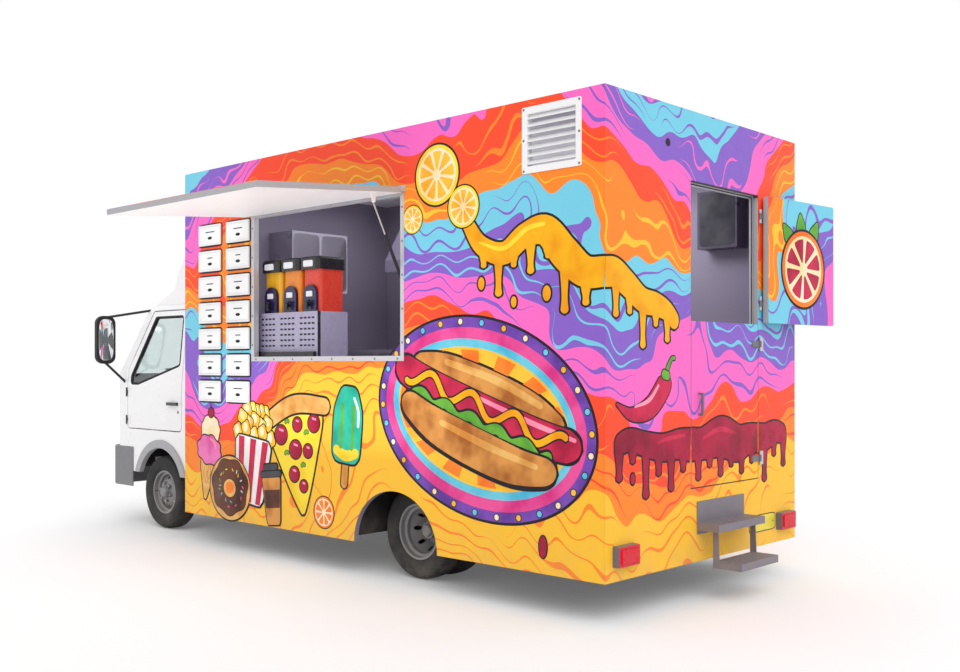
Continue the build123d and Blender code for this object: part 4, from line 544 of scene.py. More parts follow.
plain("counter", "#8D8995", 0.35, metallic=0.5, paint={"dust": 0.1}, surface={"brush": True})
plain("dash", "#2A2A2D", 0.75, paint={"dust": 0.3, "vary": 0.2}, surface={"scale": 700, "depth": 0.0008})
plain(
    "cloth",
    "#3A3B42",
    0.92,
    paint={"vary": 0.35, "dust": 0.1},
    surface={"weave_count": 1500, "depth": 0.0006},
)
plain("chrome", "#C9C9CC", 0.12, metallic=1.0, paint={"dust": 0.1, "vary": 0.04}, surface={"brush": True})
plain(
    "mirror",
    "#F2F5F7",
    0.03,
    metallic=1.0,
    paint={"dust": 0.0, "vary": 0.02},
    surface={"scale": 50, "depth": 0.00001},
)
plain("plate_yellow", "#F2DC22", 0.4, coat=0.3, paint={"dust": 0.4}, surface={"scale": 900})
plain(
    "lit_panel",
    "#FFFFFF",
    0.6,
    paint={"dust": 0.0},
    surface={"scale": 400},
    Emission_Color=(1, 0.97, 0.93, 1),
    Emission_Strength=5,
)


def floor_paint():
    """The floor pan: black underseal below, a grey floor and wheel boxes above."""
    finish = Finish("floor_paint", rough=0.7)
    z = finish.t.parts(finish.at)[2]
    shown = finish.t.mix(finish.t.above(z, FLOOR_TOP - 0.001), "#1F1E21", "#77728A")
    M["floor_paint"] = finish.paint(shown, vary=0.3, dust=0.4).surface(scale=260, depth=0.0012).material


SWITCHES_END = REAR + 0.7


def units_paint():
    """Kitchen units of brushed steel, and the dark switch cabinet by the rear door."""
    finish = Finish("units_paint", rough=0.36, metallic=0.25)
    y = finish.t.parts(finish.at)[1]
    shown = finish.t.mix(finish.t.below(y, SWITCHES_END), "#A9A5B4", "#5A5363")
    M["units_paint"] = finish.paint(shown, dust=0.05).surface(brush=True, depth=0.00025).material


# Levels in the cab: the foot well's top, the lowest lining and ceiling, and what the mats and the doors'
# fittings lie below; and how far those fittings stand off the door faces
WELL_TOP = CAB_LOW.z + 0.36
LINING_BASE = CAB_LOW.z + 0.30
CEILING_BASE = 1.5
MAT_TOP = 1.0
FITTINGS_TOP = 1.25
FITTING_STAND = 0.0045


def cab_paint():
    """White cab paint. The handles and hinges that stand off the doors are black, and the faces that look
    into the cab are grey trim over a dark floor."""
    finish = Finish("cab_paint", rough=0.3, coat=0.5, Coat_Roughness=0.08)
    t = finish.t
    x, y, z = t.parts(finish.at)
    proud = t.off(x, MIDDLE)
    well = t.both(t.below(z, WELL_TOP), t.below(proud, CAB_HALF - 0.03), t.below(y, CAB_HIGH.y - 0.05))
    shown = t.mix(well, "#F8F8F9", FOOT_WELL)
    looks = t.parts(t.node("TexCoord").outputs["Normal"])
    inward = t.below(t.math("MULTIPLY", looks[0], t.math("SUBTRACT", x, MIDDLE)), -0.1)
    ceiling = t.both(t.below(looks[2], -0.5), t.above(z, CEILING_BASE), t.above(y, CAB_LOW.y + 0.02))
    back_panel = t.both(t.above(looks[1], 0.5), t.below(y, CAB_LOW.y + 0.12))
    lining = t.both(t.either(inward, ceiling, back_panel), t.above(z, LINING_BASE))
    shown = t.mix(lining, shown, "#8B898F")
    on_floor = t.both(t.below(proud, CAB_HALF - 0.05), t.below(y, CAB_HIGH.y - 0.2), t.below(z, MAT_TOP))
    shown = t.mix(t.both(t.above(looks[2], 0.6), on_floor), shown, FOOT_WELL)
    fitting = t.both(t.above(proud, CAB_HALF + FITTING_STAND), t.below(z, FITTINGS_TOP))
    shown = t.mix(fitting, shown, BLACK)
    finish.paint(shown, vary=0.02, dust=0.12)
    M["cab_paint"] = finish.surface(scale=420, waves=1, depth=0.0002, soft=0.006, swing=0.04).material


def glass(name, tint, rough=0.02):
    """Clear glass with a faint tint, a thin haze of dust and smears in its gloss."""
    finish = Finish(name, rough, IOR=1.45, Transmission_Weight=1.0)
    t = finish.t
    haze = t.spread(t.noise(finish.at, 4.0, detail=5.0), 0.35, 0.75, 0.0, 0.06)
    finish.set("Base Color", t.mix(haze, tint, DUST))
    smears = t.noise(finish.at, 25.0, detail=3.0)
    finish.set("Roughness", t.spread(smears, 0.4, 0.8, rough, rough + 0.06))
    M[name] = finish.material


LENS_RIM = 0.0085
LENS_RIBS = 900


def tail_lamp():
    """A grey housing whose raised lens is red, with ribs moulded inside it."""
    finish = Finish("tail_lamp", rough=0.3, Specular_IOR_Level=0.3)
    t = finish.t
    x, y, _ = t.parts(finish.at)
    lens = t.below(y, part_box("tail_lamps")[0].y + LENS_RIM)
    ribs = t.math("MULTIPLY_ADD", t.math("SINE", t.math("MULTIPLY", x, LENS_RIBS)), 0.5, 0.5)
    red = t.mix(t.math("MULTIPLY", ribs, 0.35), LAMP_RED, "#7E0A1C")
    finish.paint(t.mix(lens, "#6F6A77", red), dust=0.25)
    M["tail_lamp"] = finish.surface(scale=700, depth=0.0003).material


# The drink machine's fronts, from its taps back: lid, plates, arched fronts, then the tanks; and its levels
SLUSH_COLOURS = ("#E23B22", "#F08A1C", "#F2B41E")
SLUSH_FRONT = SLUSH_LOW.x + 0.030
SLUSH_BASE = SLUSH_LOW.z + 0.33
SLUSH_PLATES = SLUSH_BASE + 0.09
SLUSH_LIDS = SLUSH_HIGH.z - 0.0955
SLUSH_WHITE = "#EDEDF2"
SLUSH_BLACK = "#17161A"
SLUSH_NAVY = "#231C4A"


def slush_paint():
    """The drink machine: a lilac grey base whose slot recesses are painted dark as shade, a black tray, taps
    and lids, navy arched fronts with white plates, and tanks of coloured ice."""
    finish = Finish("slush_paint", rough=0.3, coat=0.3)
    t = finish.t
    x, y, z = t.parts(finish.at)
    tank_width = (SLUSH_HIGH.y - SLUSH_LOW.y) / len(SLUSH_COLOURS)
    shown = t.steps(y, SLUSH_COLOURS, first=SLUSH_LOW.y, width=tank_width)
    shown = t.mix(t.below(x, SLUSH_FRONT + 0.0435), shown, SLUSH_NAVY)
    plate_colour = t.mix(t.above(z, SLUSH_PLATES), SLUSH_BLACK, SLUSH_WHITE)
    shown = t.mix(t.below(x, SLUSH_FRONT + 0.0215), shown, plate_colour)
    lid_colour = t.mix(t.below(x, SLUSH_FRONT + 0.0115), "#18171B", SLUSH_WHITE)
    shown = t.mix(t.above(z, SLUSH_LIDS), shown, lid_colour)
    # The faces inside the base's slots are painted dark as shade
    slot = t.both(t.above(x, SLUSH_FRONT + 0.004), t.below(x, SLUSH_FRONT + 0.03))
    shown = t.mix(t.below(z, SLUSH_BASE + 0.001), shown, t.mix(slot, "#A8A2BC", "#2A2733"))
    tray = t.both(t.below(x, SLUSH_FRONT - HAIR), t.below(z, SLUSH_BASE - 0.05))
    shown = t.mix(tray, shown, SLUSH_BLACK)
    M["slush_paint"] = finish.paint(shown, dust=0.05).surface(scale=500).material


def printed(name, colour, deep):
    """A colour of the printed motifs: it drifts to a deeper one in soft patches, as hand colouring does."""
    finish = Finish("print_" + name, rough=0.38, Specular_IOR_Level=WRAP_GLOSS)
    patch = finish.t.spread(finish.t.noise(finish.at, 5.5, detail=2.0), 0.42, 0.68)
    shown = finish.t.mix(patch, colour, deep)
    M[name] = finish.paint(shown, vary=0.05, dust=0.15).surface(scale=420, waves=3).material


for make in (floor_paint, units_paint, cab_paint, tail_lamp, slush_paint):
    make()
glass("cab_glass", "#EAF2F2")
glass("lamp_lens", "#F4F4F2", rough=0.08)
PRINTS = {
    "ink": ("#17141A", "#221C28"),
    "violet": ("#7C4DB8", "#5E3596"),
    "magenta": ("#F0559F", "#D92F84"),
    "tangerine": ("#FF8A2B", "#F46D1B"),
    "gold": ("#FFC93C", "#F8A81F"),
    "cream": ("#FFF1CF", "#FBDCA0"),
    "sky": ("#6FD0E6", "#45B4D8"),
    "bun": ("#E09A4C", "#A85F22"),
    "crust": ("#F2BE6C", "#D48A36"),
    "sausage": ("#D2264F", "#A5123C"),
    "crimson": ("#B3123F", "#8C0B30"),
    "blush": ("#FF9DB8", "#FF82A6"),
    "mustard": ("#FFB70F", "#F29A00"),
    "leaf": ("#6DB53C", "#3F8C2A"),
    "teal": ("#2CC3A0", "#16A188"),
    "cocoa": ("#6B3A22", "#43231A"),
    "slate": ("#4B4A50", "#33323A"),
    "paper": ("#F6F4F2", "#E5DFDC"),
    "lemon": ("#FFE23A", "#F9C81A"),
    "rose": ("#F67FC0", "#E0559F"),
}
for name, (colour, deep) in PRINTS.items():
    printed(name, colour, deep)

# The finish of each CAD node
NODE_FINISH = {
    "livery_body": ("left_wall", "right_wall", "rear_wall", "front_wall"),
    "livery_flap": ("hatch_flap",),
    "leaf_upper": ("rear_door_upper",),
    "leaf_lower": ("rear_door_lower",),
    "roof_white": ("roof_panel",),
    "floor_paint": ("floor_pan",),
    "alloy": ("hatch_frame", "hatch_hinge", "door_frame", "door_hinges"),
    "trim_white": ("side_vent", "menu_cards"),
    "cab_paint": ("cab_shell", "cab_door_left", "cab_door_right", "roof_deflector"),
    "cab_glass": ("windscreen", "door_glass_left", "door_glass_right"),
    "lamp_lens": ("head_lamps",),
    "bumper": ("front_bumper",),
    "flare": ("wheel_flares",),
    "black": ("stay_barrel", "front_grille", "mirrors", "steering_wheel"),
    "chrome": ("stay_rod",),
    "rim": ("front_rim_left", "front_rim_right", "rear_rims_left", "rear_rims_right"),
    "tyre": ("front_tyre_left", "front_tyre_right", "rear_tyres_left", "rear_tyres_right"),
    "chassis": ("chassis_frame", "leaf_springs", "front_axle", "propeller_shaft", "fuel_tank"),
    "casting": ("rear_axle", "engine_block", "silencer", "knuckle_left", "knuckle_right"),
    "steps": ("rear_steps",),
    "tail_lamp": ("tail_lamps",),
    "units_paint": ("kitchen_units",),
    "counter": ("service_counter",),
    "hood_steel": ("extraction_hood",),
    "dash": ("dashboard",),
    "cloth": ("seats",),
    "slush_paint": ("slush_machine",),
}
for material, names in NODE_FINISH.items():
    for name in names:
        for slot in NODES[name].material_slots:
            slot.link = "OBJECT"
            slot.material = M[material]


# Meshes
class Shape:
    """Closed surfaces gathered into one mesh, each with its own material."""

    def __init__(self):
        self.points, self.faces, self.kinds, self.count, self.materials = [], [], [], 0, []

    def add(self, grid, material):
        """A surface from a grid of points, rows by columns, closed round its columns.

        Its faces are turned so that the volume inside, the sum of their tetrahedra, is positive.
        """
        rows, columns = grid.shape[:2]
        index = np.arange(rows * columns).reshape(rows, columns)
        index = np.hstack([index, index[:, :1]])
        quads = np.stack([index[:-1, :-1], index[1:, :-1], index[1:, 1:], index[:-1, 1:]], -1).reshape(-1, 4)
        flat = grid.reshape(-1, 3)
        corners = flat[quads] - flat.mean(0)
        volume = np.einsum("ij,ij->", np.cross(corners[:, 0], corners[:, 1]), corners[:, 2])
        volume += np.einsum("ij,ij->", np.cross(corners[:, 0], corners[:, 2]), corners[:, 3])
        if volume < 0:
            quads = quads[:, ::-1]
        if material not in self.materials:
            self.materials.append(material)
        self.points.append(flat)
        self.faces.append(quads + self.count)
        self.kinds.append(np.full(len(quads), self.materials.index(material)))
        self.count += len(flat)
        return self

    def mesh(self, name, sharp=35):
        """The gathered mesh, its doubled points merged."""
        points, faces, kinds = (np.concatenate(part) for part in (self.points, self.faces, self.kinds))
        mesh = bpy.data.meshes.new(name)
        mesh.vertices.add(len(points))
        mesh.vertices.foreach_set("co", points.astype(np.float32).ravel())
        mesh.loops.add(faces.size)
        mesh.loops.foreach_set("vertex_index", faces.astype(np.int32).ravel())
        mesh.polygons.add(len(faces))
        mesh.polygons.foreach_set("loop_start", np.arange(0, faces.size, 4, dtype=np.int32))
        mesh.polygons.foreach_set("material_index", kinds.astype(np.int32))
        mesh.update(calc_edges=True)
        for material in self.materials:
            mesh.materials.append(M[material])
        work = bmesh.new()
        work.from_mesh(mesh)
        bmesh.ops.remove_doubles(work, verts=work.verts, dist=1e-6)
        bmesh.ops.dissolve_degenerate(work, edges=work.edges, dist=1e-7)
        work.to_mesh(mesh)
        work.free()
        mesh.shade_smooth()
        mesh.set_sharp_from_angle(angle=radians(sharp))
        return mesh

    def piece(self, name, body, slot, sharp=35):
        """The finished piece, riding on a body."""
        return place_piece(self.mesh(name, sharp), name, body)


def place_piece(mesh, name, body):
    """A mesh as a piece of the truck that rides on a body."""
    item = bpy.data.objects.new(name, mesh)
    bpy.context.scene.collection.objects.link(item)
    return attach(item, body)


def around(count):
    """Angles at equal steps once round."""
    return np.linspace(0, 2 * pi, count, endpoint=False)


def blunted(value, power):
    """A sine or cosine raised to a power, its sign kept: under one, a circle of them nears a box."""
    return np.sign(value) * np.abs(value) ** power


def turn_round(profile, centre, along, columns=48):
    """A lathe surface: each profile row is a radius and a distance along the axis, turned once round it."""
    along = Vector(along).normalized()
    first = along.orthogonal().normalized()
    second = along.cross(first)
    angle = around(columns)
    ring = np.outer(np.cos(angle), first) + np.outer(np.sin(angle), second)
    radius, height = np.array(profile, float).T
    return np.array(centre) + radius[:, None, None] * ring + height[:, None, None] * np.array(along)


def tube(path, radius, columns=12, closed=False):
    """A round bar along a path: rings of the radius, each square to the way. Its ends close, or meet."""
    path = np.array(path, float)
    ahead = np.roll(path, -1, 0) - np.roll(path, 1, 0) if closed else np.gradient(path, axis=0)
    ahead /= np.linalg.norm(ahead, axis=1, keepdims=True)
    side = np.cross(ahead, (0.31, 0.23, 0.92))
    side /= np.linalg.norm(side, axis=1, keepdims=True)
    lift = np.cross(ahead, side)
    angle = around(columns)
    ring = np.cos(angle)[:, None] * side[:, None] + np.sin(angle)[:, None] * lift[:, None]
    rings = path[:, None] + radius * ring
    if closed:
        return np.concatenate([rings, rings[:1]])
    ends = [np.repeat(path[i][None, None], columns, 1) for i in (0, -1)]
    return np.concatenate([ends[0], rings, ends[1]])


def cushion(centre, half, power=0.35, rows=24, columns=48, lean=0.0):
    """A crowned closed pad that leans back by an angle.

    It is a superellipsoid: its sines and cosines are raised to a power under one, so that its faces are
    nearly flat and its corners round.
    """
    up = np.linspace(-pi / 2, pi / 2, rows)[:, None]
    turn = around(columns)[None]
    x = blunted(np.cos(up), power) * blunted(np.cos(turn), power) * half[0]
    y = blunted(np.cos(up), power) * blunted(np.sin(turn), power) * half[1]
    z = blunted(np.sin(up), power) * np.ones_like(turn) * half[2]
    return np.array(centre) + np.stack([x, y * cos(lean) - z * sin(lean), y * sin(lean) + z * cos(lean)], -1)


# Flat pieces on a face: the lowest one's lift, the step from level to level, and how deep the backs sink
LIFT = 0.0006
STEP = 0.00025
SUNK = -0.0004
# Where bars of one colour meet, all but the first lie this share of a level lower
MEETING_DROP = 0.15
# A bar: farther off than any bar is wide, the least share of width at an end, its sides and their bluntness
FAR_OFF = 9
END_SHARE = 0.02
BAR_SIDES = 8
BAR_POWER = 0.3


def curve(points, count):
    """A smooth run through points: a cubic between each two, whose slope at a point is half the step from the
    one before it to the one after it. Its places stand closer near the ends."""
    p = np.array(points, float)
    p = np.concatenate([2 * p[:1] - p[1:2], p, 2 * p[-1:] - p[-2:-1]])
    place = (len(p) - 3) * (1 - np.cos(np.linspace(0, pi, count))) / 2
    i = np.minimum(place.astype(int), len(p) - 4)
    f = (place - i)[:, None]
    a, b, c, d = p[i], p[i + 1], p[i + 2], p[i + 3]
    return 0.5 * (2 * b + (c - a) * f + (2 * a - 5 * b + 4 * c - d) * f**2 + (3 * b - a - 3 * c + d) * f**3)


def oval(middle, half, tilt=0.0, count=64, waves=0, wave=0.0, power=1.0):
    """An outline: a cosine and a sine raised to a power, times the half sizes and a radius that waves, then
    tilted."""
    angle = around(count)
    swell = 1 + wave * np.sin(waves * angle)
    u = blunted(np.cos(angle), power) * swell * half[0]
    v = blunted(np.sin(angle), power) * swell * half[1]
    turned = np.stack([u * cos(tilt) - v * sin(tilt), u * sin(tilt) + v * cos(tilt)], -1)
    return turned + np.array(middle)


def rounded(points, rounds=3, cut=0.16):
    """A polygon's outline with each corner cut a few times over, which rounds it."""
    p = np.array(points, float)
    for _ in range(rounds):
        ahead = np.roll(p, -1, 0)
        p = np.stack([(1 - cut) * p + cut * ahead, cut * p + (1 - cut) * ahead], 1).reshape(-1, 2)
    return p


def grown(outline, edge):
    """An outline moved outward by an edge, at each point square to the line between its two neighbours."""
    ahead = np.roll(outline, -1, 0) - np.roll(outline, 1, 0)
    after = np.roll(outline, -1, 0)
    area = np.sum(outline[:, 0] * after[:, 1] - after[:, 0] * outline[:, 1])
    out = np.stack([ahead[:, 1], -ahead[:, 0]], -1) * np.sign(area)
    return outline + out / np.maximum(np.linalg.norm(out, axis=1, keepdims=True), 1e-9) * edge


class Face:
    """A flat face of the truck that thin pieces lie on: places across and up on it, and a lift off it."""

    def __init__(self, origin, along, up, out, shape=None):
        self.origin, self.along, self.up, self.out = (np.array(v, float) for v in (origin, along, up, out))
        self.shape = shape or Shape()

    def at(self, flat, lift=0.0):
        """Points in the frame: the origin, plus across, up and out times their directions."""
        flat, lift = np.asarray(flat, float), np.asarray(lift, float)
        on_face = self.origin + flat[..., :1] * self.along + flat[..., 1:2] * self.up
        return on_face + lift[..., None] * self.out

    def moved(self, middle, tilt=0.0, size=1.0):
        """The same face with its middle, turn and scale set for a motif."""
        along = cos(tilt) * self.along + sin(tilt) * self.up
        up = cos(tilt) * self.up - sin(tilt) * self.along
        return Face(self.at(middle), along * size, up * size, self.out, self.shape)

    def plate(self, outline, colour, level=0, edge=0.0):
        """A flat piece with a soft rim: copies of its outline, from its back's middle out to the rim and in
        again. With an edge, it lies on an ink piece that much larger."""
        outline = np.asarray(outline, float)
        if edge:
            self.plate(grown(outline, edge), "ink", level)
            level += 1
        middle = outline.mean(0)
        top = LIFT + level * STEP
        rows = ((0, SUNK), (1, SUNK), (1, top * 0.6), (0.985, top), (0, top))
        flat = np.stack([middle + share * (outline - middle) for share, _ in rows])
        lift = np.array([[height] * len(outline) for _, height in rows])
        self.shape.add(self.at(flat, lift), colour)

    def bar(self, path, colour, level=0, edge=0.0, count=40):
        """A flattened bar along a smooth path of places across and up and half widths, its ends round. With
        an edge, it lies on an ink bar that much wider and longer."""
        if edge:
            self.flow([path], colour, level, edge, count)
        else:
            self.lay(curve(path, count), colour, level)

    def flow(self, paths, colour, level=0, edge=0.014, count=80, blunt=(False, False)):
        """Bars of one colour that run together inside one ink edge. Only the first may end bluntly."""
        lines = [(curve(path, count), blunt if path is paths[0] else (False, False)) for path in paths]
        for line, ends in lines:
            wide = line + np.array((0, 0, edge))
            for end, near in ((0, 1), (-1, -2)):
                if not ends[end]:
                    ahead = line[end, :2] - line[near, :2]
                    wide[end, :2] += ahead / np.linalg.norm(ahead) * edge
            self.lay(wide, "ink", level, ends)
        for n, (line, ends) in enumerate(lines):
            self.lay(line, colour, level + 1 - MEETING_DROP * (n > 0), ends)

    def lay(self, line, colour, level, blunt=(False, False)):
        """A flattened bar along a line of places and half widths: at each, a section of eight points, whose
        sine and cosine are raised to a power so that it nears a box. Towards an end that isn't blunt, the
        half width falls as the edge of a circle does."""
        places, half = line[:, :2], line[:, 2]
        gaps = np.linalg.norm(np.diff(places, axis=0), axis=1)
        way = np.concatenate([[0], np.cumsum(gaps)])
        nearest = np.minimum(way + blunt[0] * FAR_OFF, way[-1] - way + blunt[1] * FAR_OFF)
        share = np.clip(1 - nearest / np.maximum(half, 1e-6), 0, 1)
        half = half * np.sqrt(np.maximum(1 - share**2, END_SHARE**2))
        ahead = np.gradient(places, axis=0)
        ahead /= np.maximum(np.linalg.norm(ahead, axis=1, keepdims=True), 1e-9)
        side = np.stack([-ahead[:, 1], ahead[:, 0]], -1)
        top = LIFT + level * STEP
        angle = around(BAR_SIDES) + pi / BAR_SIDES
        across, rise = blunted(np.cos(angle), BAR_POWER), blunted(np.sin(angle), BAR_POWER)
        flat = places[:, None] + (half[:, None] * across[None])[..., None] * side[:, None]
        lift = np.broadcast_to((top + SUNK) / 2 + (top - SUNK) / 2 * rise, flat.shape[:2])
        grid = self.at(flat, lift)
        ends = [np.repeat(grid[i].mean(0)[None, None], len(angle), 1) for i in (0, -1)]
        self.shape.add(np.concatenate([ends[0], grid, ends[1]]), colour)


def line_of(points, half):
    """Path points of one half width."""
    return [(u, v, half) for u, v in points]


def mirrored(*points):
    """Path points on the right with their mirror images on the left, from left to right."""
    return [(-u, v, half) for u, v, half in points] + list(points[::-1])


# Half widths down a drip of sauce: at the body's middle line, at its edge, at the neck and at the end
DRIP_HALVES = (0.052, 0.034, 0.022, 0.033)


def pour(face, body, drips, colour, edge, count, blunt):
    """A body of sauce on a face and its drips, each at a place across and with a drop below the body's edge.

    A drip starts on the body's middle line, thins to a neck below the edge and swells again at its end.
    """
    across, up, half = np.array(sorted(body)).T
    paths = [body]
    for place, drop in drips:
        middle = np.interp(place, across, up)
        low = middle - np.interp(place, across, half)
        heights = (middle, low, low - 0.6 * drop, low - drop)
        paths.append([(place, height, wide) for height, wide in zip(heights, DRIP_HALVES)])
    face.flow(paths, colour, 0, edge, count, blunt)


# Motifs of the wrap: each is drawn about its own middle
def hot_dog(face, level):
    """A hot dog about two units long: the bun's far half, the sausage with mustard, then the near half."""
    face.bar(mirrored((0.86, 0.20, 0.10), (0.4, 0.27, 0.15)), "bun", level, 0.022)
    face.bar([(-0.6, 0.33, 0.03), (-0.1, 0.37, 0.035), (0.5, 0.34, 0.03)], "crust", level + 2)
    face.bar(mirrored((1.04, 0.15, 0.12), (0.5, 0.09, 0.145)), "sausage", level + 2, 0.022)
    face.bar([(-0.98, 0.20, 0.018), (-0.5, 0.18, 0.024), (0.1, 0.18, 0.018)], "blush", level + 4)
    zigzag = [(u, 0.12 + 0.075 * sin(13 * u), 0.03) for u in np.linspace(-0.9, 0.9, 50)]
    face.bar(zigzag, "mustard", level + 4, 0.015, count=160)
    frill = [(u, -0.02 + 0.03 * sin(21 * u), 0.05) for u in np.linspace(-0.8, 0.8, 44)]
    face.bar(frill, "leaf", level + 6, 0.016, count=140)
    face.bar(mirrored((0.88, -0.10, 0.11), (0.4, -0.20, 0.17)), "bun", level + 8, 0.022)
    face.bar([(-0.7, -0.12, 0.025), (-0.2, -0.15, 0.035), (0.4, -0.15, 0.03)], "crust", level + 10)


def badge(face):
    """The large badge: rings of colour with a border of round bulbs, rays, and the hot dog across it."""
    rings = (("violet", 0.90, 0.60), ("magenta", 0.84, 0.54), ("sky", 0.77, 0.47), ("gold", 0.72, 0.42))
    for level, (colour, u, v) in enumerate(rings):
        face.plate(oval((0, 0), (u, v), count=96), colour, level + (level > 0), 0.014 if level == 0 else 0)
    bulbs = ("cream", "sky", "gold")
    for i in range(30):
        angle = 2 * pi * i / 30
        place = (0.870 * cos(angle), 0.570 * sin(angle))
        face.plate(oval(place, (0.018, 0.018), count=14), bulbs[i % 3], 2, 0.006)
    for i in range(14):
        turns = [2 * pi * (i + share) / 14 for share in (-0.25, -0.12, 0, 0.12, 0.25)]
        face.plate([(0, 0), *[(0.70 * cos(a), 0.40 * sin(a)) for a in turns]], "tangerine", 5)
    hot_dog(face.moved((0, -0.02), radians(6), 0.76), 6)


def citrus(face, level, rind="lemon", pith="cream", flesh="gold", wedges=9):
    """A round slice of citrus, of radius one."""
    face.plate(oval((0, 0), (1, 1)), rind, level, 0.06)
    face.plate(oval((0, 0), (0.88, 0.88)), pith, level + 2)
    for i in range(wedges):
        turn = 2 * pi * i / wedges
        half = pi / wedges
        corners = [(0.10 * cos(turn), 0.10 * sin(turn))]
        corners += [(0.80 * cos(a), 0.80 * sin(a)) for a in (turn - 0.78 * half, turn, turn + 0.78 * half)]
        face.plate(rounded(corners, 3, 0.12), flesh, level + 3)


def pizza(face, level):
    """A slice of pizza about one unit tall, its tip down."""
    tip = [(-0.44, 0.34), (0, 0.42), (0.44, 0.34), (0.18, -0.30), (0.05, -0.55), (-0.12, -0.28)]
    face.plate(rounded(tip), "lemon", level, 0.02)
    face.bar([(-0.50, 0.34, 0.07), (0, 0.45, 0.08), (0.50, 0.34, 0.07)], "crust", level + 2, 0.02)
    slices = ((-0.26, 0.24, 0.080), (-0.03, 0.27, 0.065), (0.22, 0.22, 0.090), (0.04, 0.06, 0.085))
    for u, v, r in (*slices, (-0.13, 0.02, 0.062), (0.10, -0.15, 0.070), (-0.01, -0.27, 0.055)):
        face.plate(oval((u, v), (r, 0.95 * r)), "crimson", level + 2, 0.012)
        glint = line_of([(u - 0.5 * r, v + 0.3 * r), (u + 0.2 * r, v + 0.6 * r)], 0.010)
        face.bar(glint, "blush", level + 4, count=10)
    for u, v in ((-0.14, 0.17), (0.11, 0.31), (0.17, 0.04), (-0.04, -0.10)):
        herb = line_of([(u - 0.03, v), (u, v + 0.02), (u + 0.03, v)], 0.014)
        face.bar(herb, "leaf", level + 3, 0.006, 12)


def ice_cream(face, level):
    """A cone with two scoops and a cherry, about one unit tall."""
    cone = [(-0.20, -0.02), (0.20, -0.02), (0.03, -0.56), (-0.03, -0.56)]
    face.plate(rounded(cone), "crust", level, 0.018)
    for shift in (-0.12, 0.0, 0.12):
        for side in (-1, 1):
            groove = line_of([(shift + 0.06 * side, -0.04), (shift * 0.4 - 0.05 * side, -0.36)], 0.008)
            face.bar(groove, "bun", level + 2, count=8)
    face.plate(oval((0, 0.36), (0.21, 0.20), waves=9, wave=0.03), "cream", level, 0.018)
    face.plate(oval((0, 0.10), (0.27, 0.19), waves=8, wave=0.06), "rose", level + 2, 0.018)
    face.bar([(-0.16, 0.14, 0.02), (-0.10, 0.22, 0.022), (0.0, 0.25, 0.015)], "blush", level + 4, count=16)
    face.bar([(-0.10, 0.42, 0.018), (-0.03, 0.49, 0.018)], "paper", level + 2, count=12)
    face.plate(oval((0.02, 0.59), (0.065, 0.062)), "crimson", level + 2, 0.014)
    face.bar([(0.02, 0.64, 0.008), (0.06, 0.74, 0.008)], "ink", level + 2, count=10)


def ice_lolly(face, level):
    """A lolly on a stick, about one unit tall."""
    face.bar([(0, -0.30, 0.05), (0, -0.60, 0.05)], "crust", level, 0.018, count=16)
    body = [(-0.22, -0.34), (0.22, -0.34), (0.23, 0.20), (0.12, 0.46), (-0.12, 0.46), (-0.23, 0.20)]
    face.plate(rounded(body), "teal", level + 2, 0.02)
    for u in (-0.09, 0.09):
        face.bar([(u, -0.20, 0.022), (u, 0.28, 0.022)], "leaf", level + 4, count=16)
    glint = [(-0.17, 0.05, 0.018), (-0.16, 0.22, 0.018), (-0.08, 0.36, 0.016)]
    face.bar(glint, "paper", level + 4, count=16)
    face.bar([(-0.20, -0.20, 0.05), (0, -0.26, 0.06), (0.20, -0.20, 0.05)], "lemon", level + 4, count=24)


def doughnut(face, level):
    """A ring doughnut with icing and sprinkles, of radius a half."""
    face.plate(oval((0, 0), (0.50, 0.46)), "crust", level, 0.018)
    face.plate(oval((0, 0.02), (0.44, 0.40), waves=7, wave=0.05), "cocoa", level + 2, 0.012)
    face.plate(oval((0, 0), (0.15, 0.13)), "crust", level + 4, 0.012)
    face.plate(oval((0, 0.01), (0.10, 0.085)), "tangerine", level + 6)
    colours = ("sky", "lemon", "rose", "leaf", "paper")
    for i in range(18):
        turn, reach = 2.4 * i, 0.24 + 0.10 * ((i * 7) % 5) / 5
        u, v, spin = reach * cos(turn), 0.02 + 0.9 * reach * sin(turn), 1.7 * i
        du, dv = 0.028 * cos(spin), 0.028 * sin(spin)
        face.bar([(u - du, v - dv, 0.011), (u + du, v + dv, 0.011)], colours[i % 5], level + 4, count=8)


def popcorn(face, level):
    """A striped box of popcorn about one unit tall."""
    box = [(-0.28, 0.10), (0.28, 0.10), (0.20, -0.50), (-0.20, -0.50)]
    for i in range(15):
        row, turn = 2 - i // 5, 0.7 * (i // 5)
        u, v = (i % 5 - 2) * (0.125 - 0.03 * row), 0.14 + 0.10 * row + 0.02 * sin(3 * i)
        kernel = oval((u, v), (0.075, 0.065), tilt=turn, waves=4, wave=0.12, count=30)
        face.plate(grown(kernel, 0.010), "ink", level + 0.6 * i)
        face.plate(kernel, "gold" if i % 3 else "lemon", level + 0.6 * i + 0.2)
        puff = oval((u + 0.01, v + 0.015), (0.045, 0.035), tilt=turn, count=20)
        face.plate(puff, "cream", level + 0.6 * i + 0.4)
    face.plate(rounded(box, 3, 0.10), "paper", level + 10, 0.016)
    for i in range(3):
        top, low = -0.18 + 0.18 * i, -0.13 + 0.13 * i
        stripe = [(top - 0.045, 0.09), (top + 0.045, 0.09), (low + 0.035, -0.49), (low - 0.035, -0.49)]
        face.plate(stripe, "sausage", level + 12)


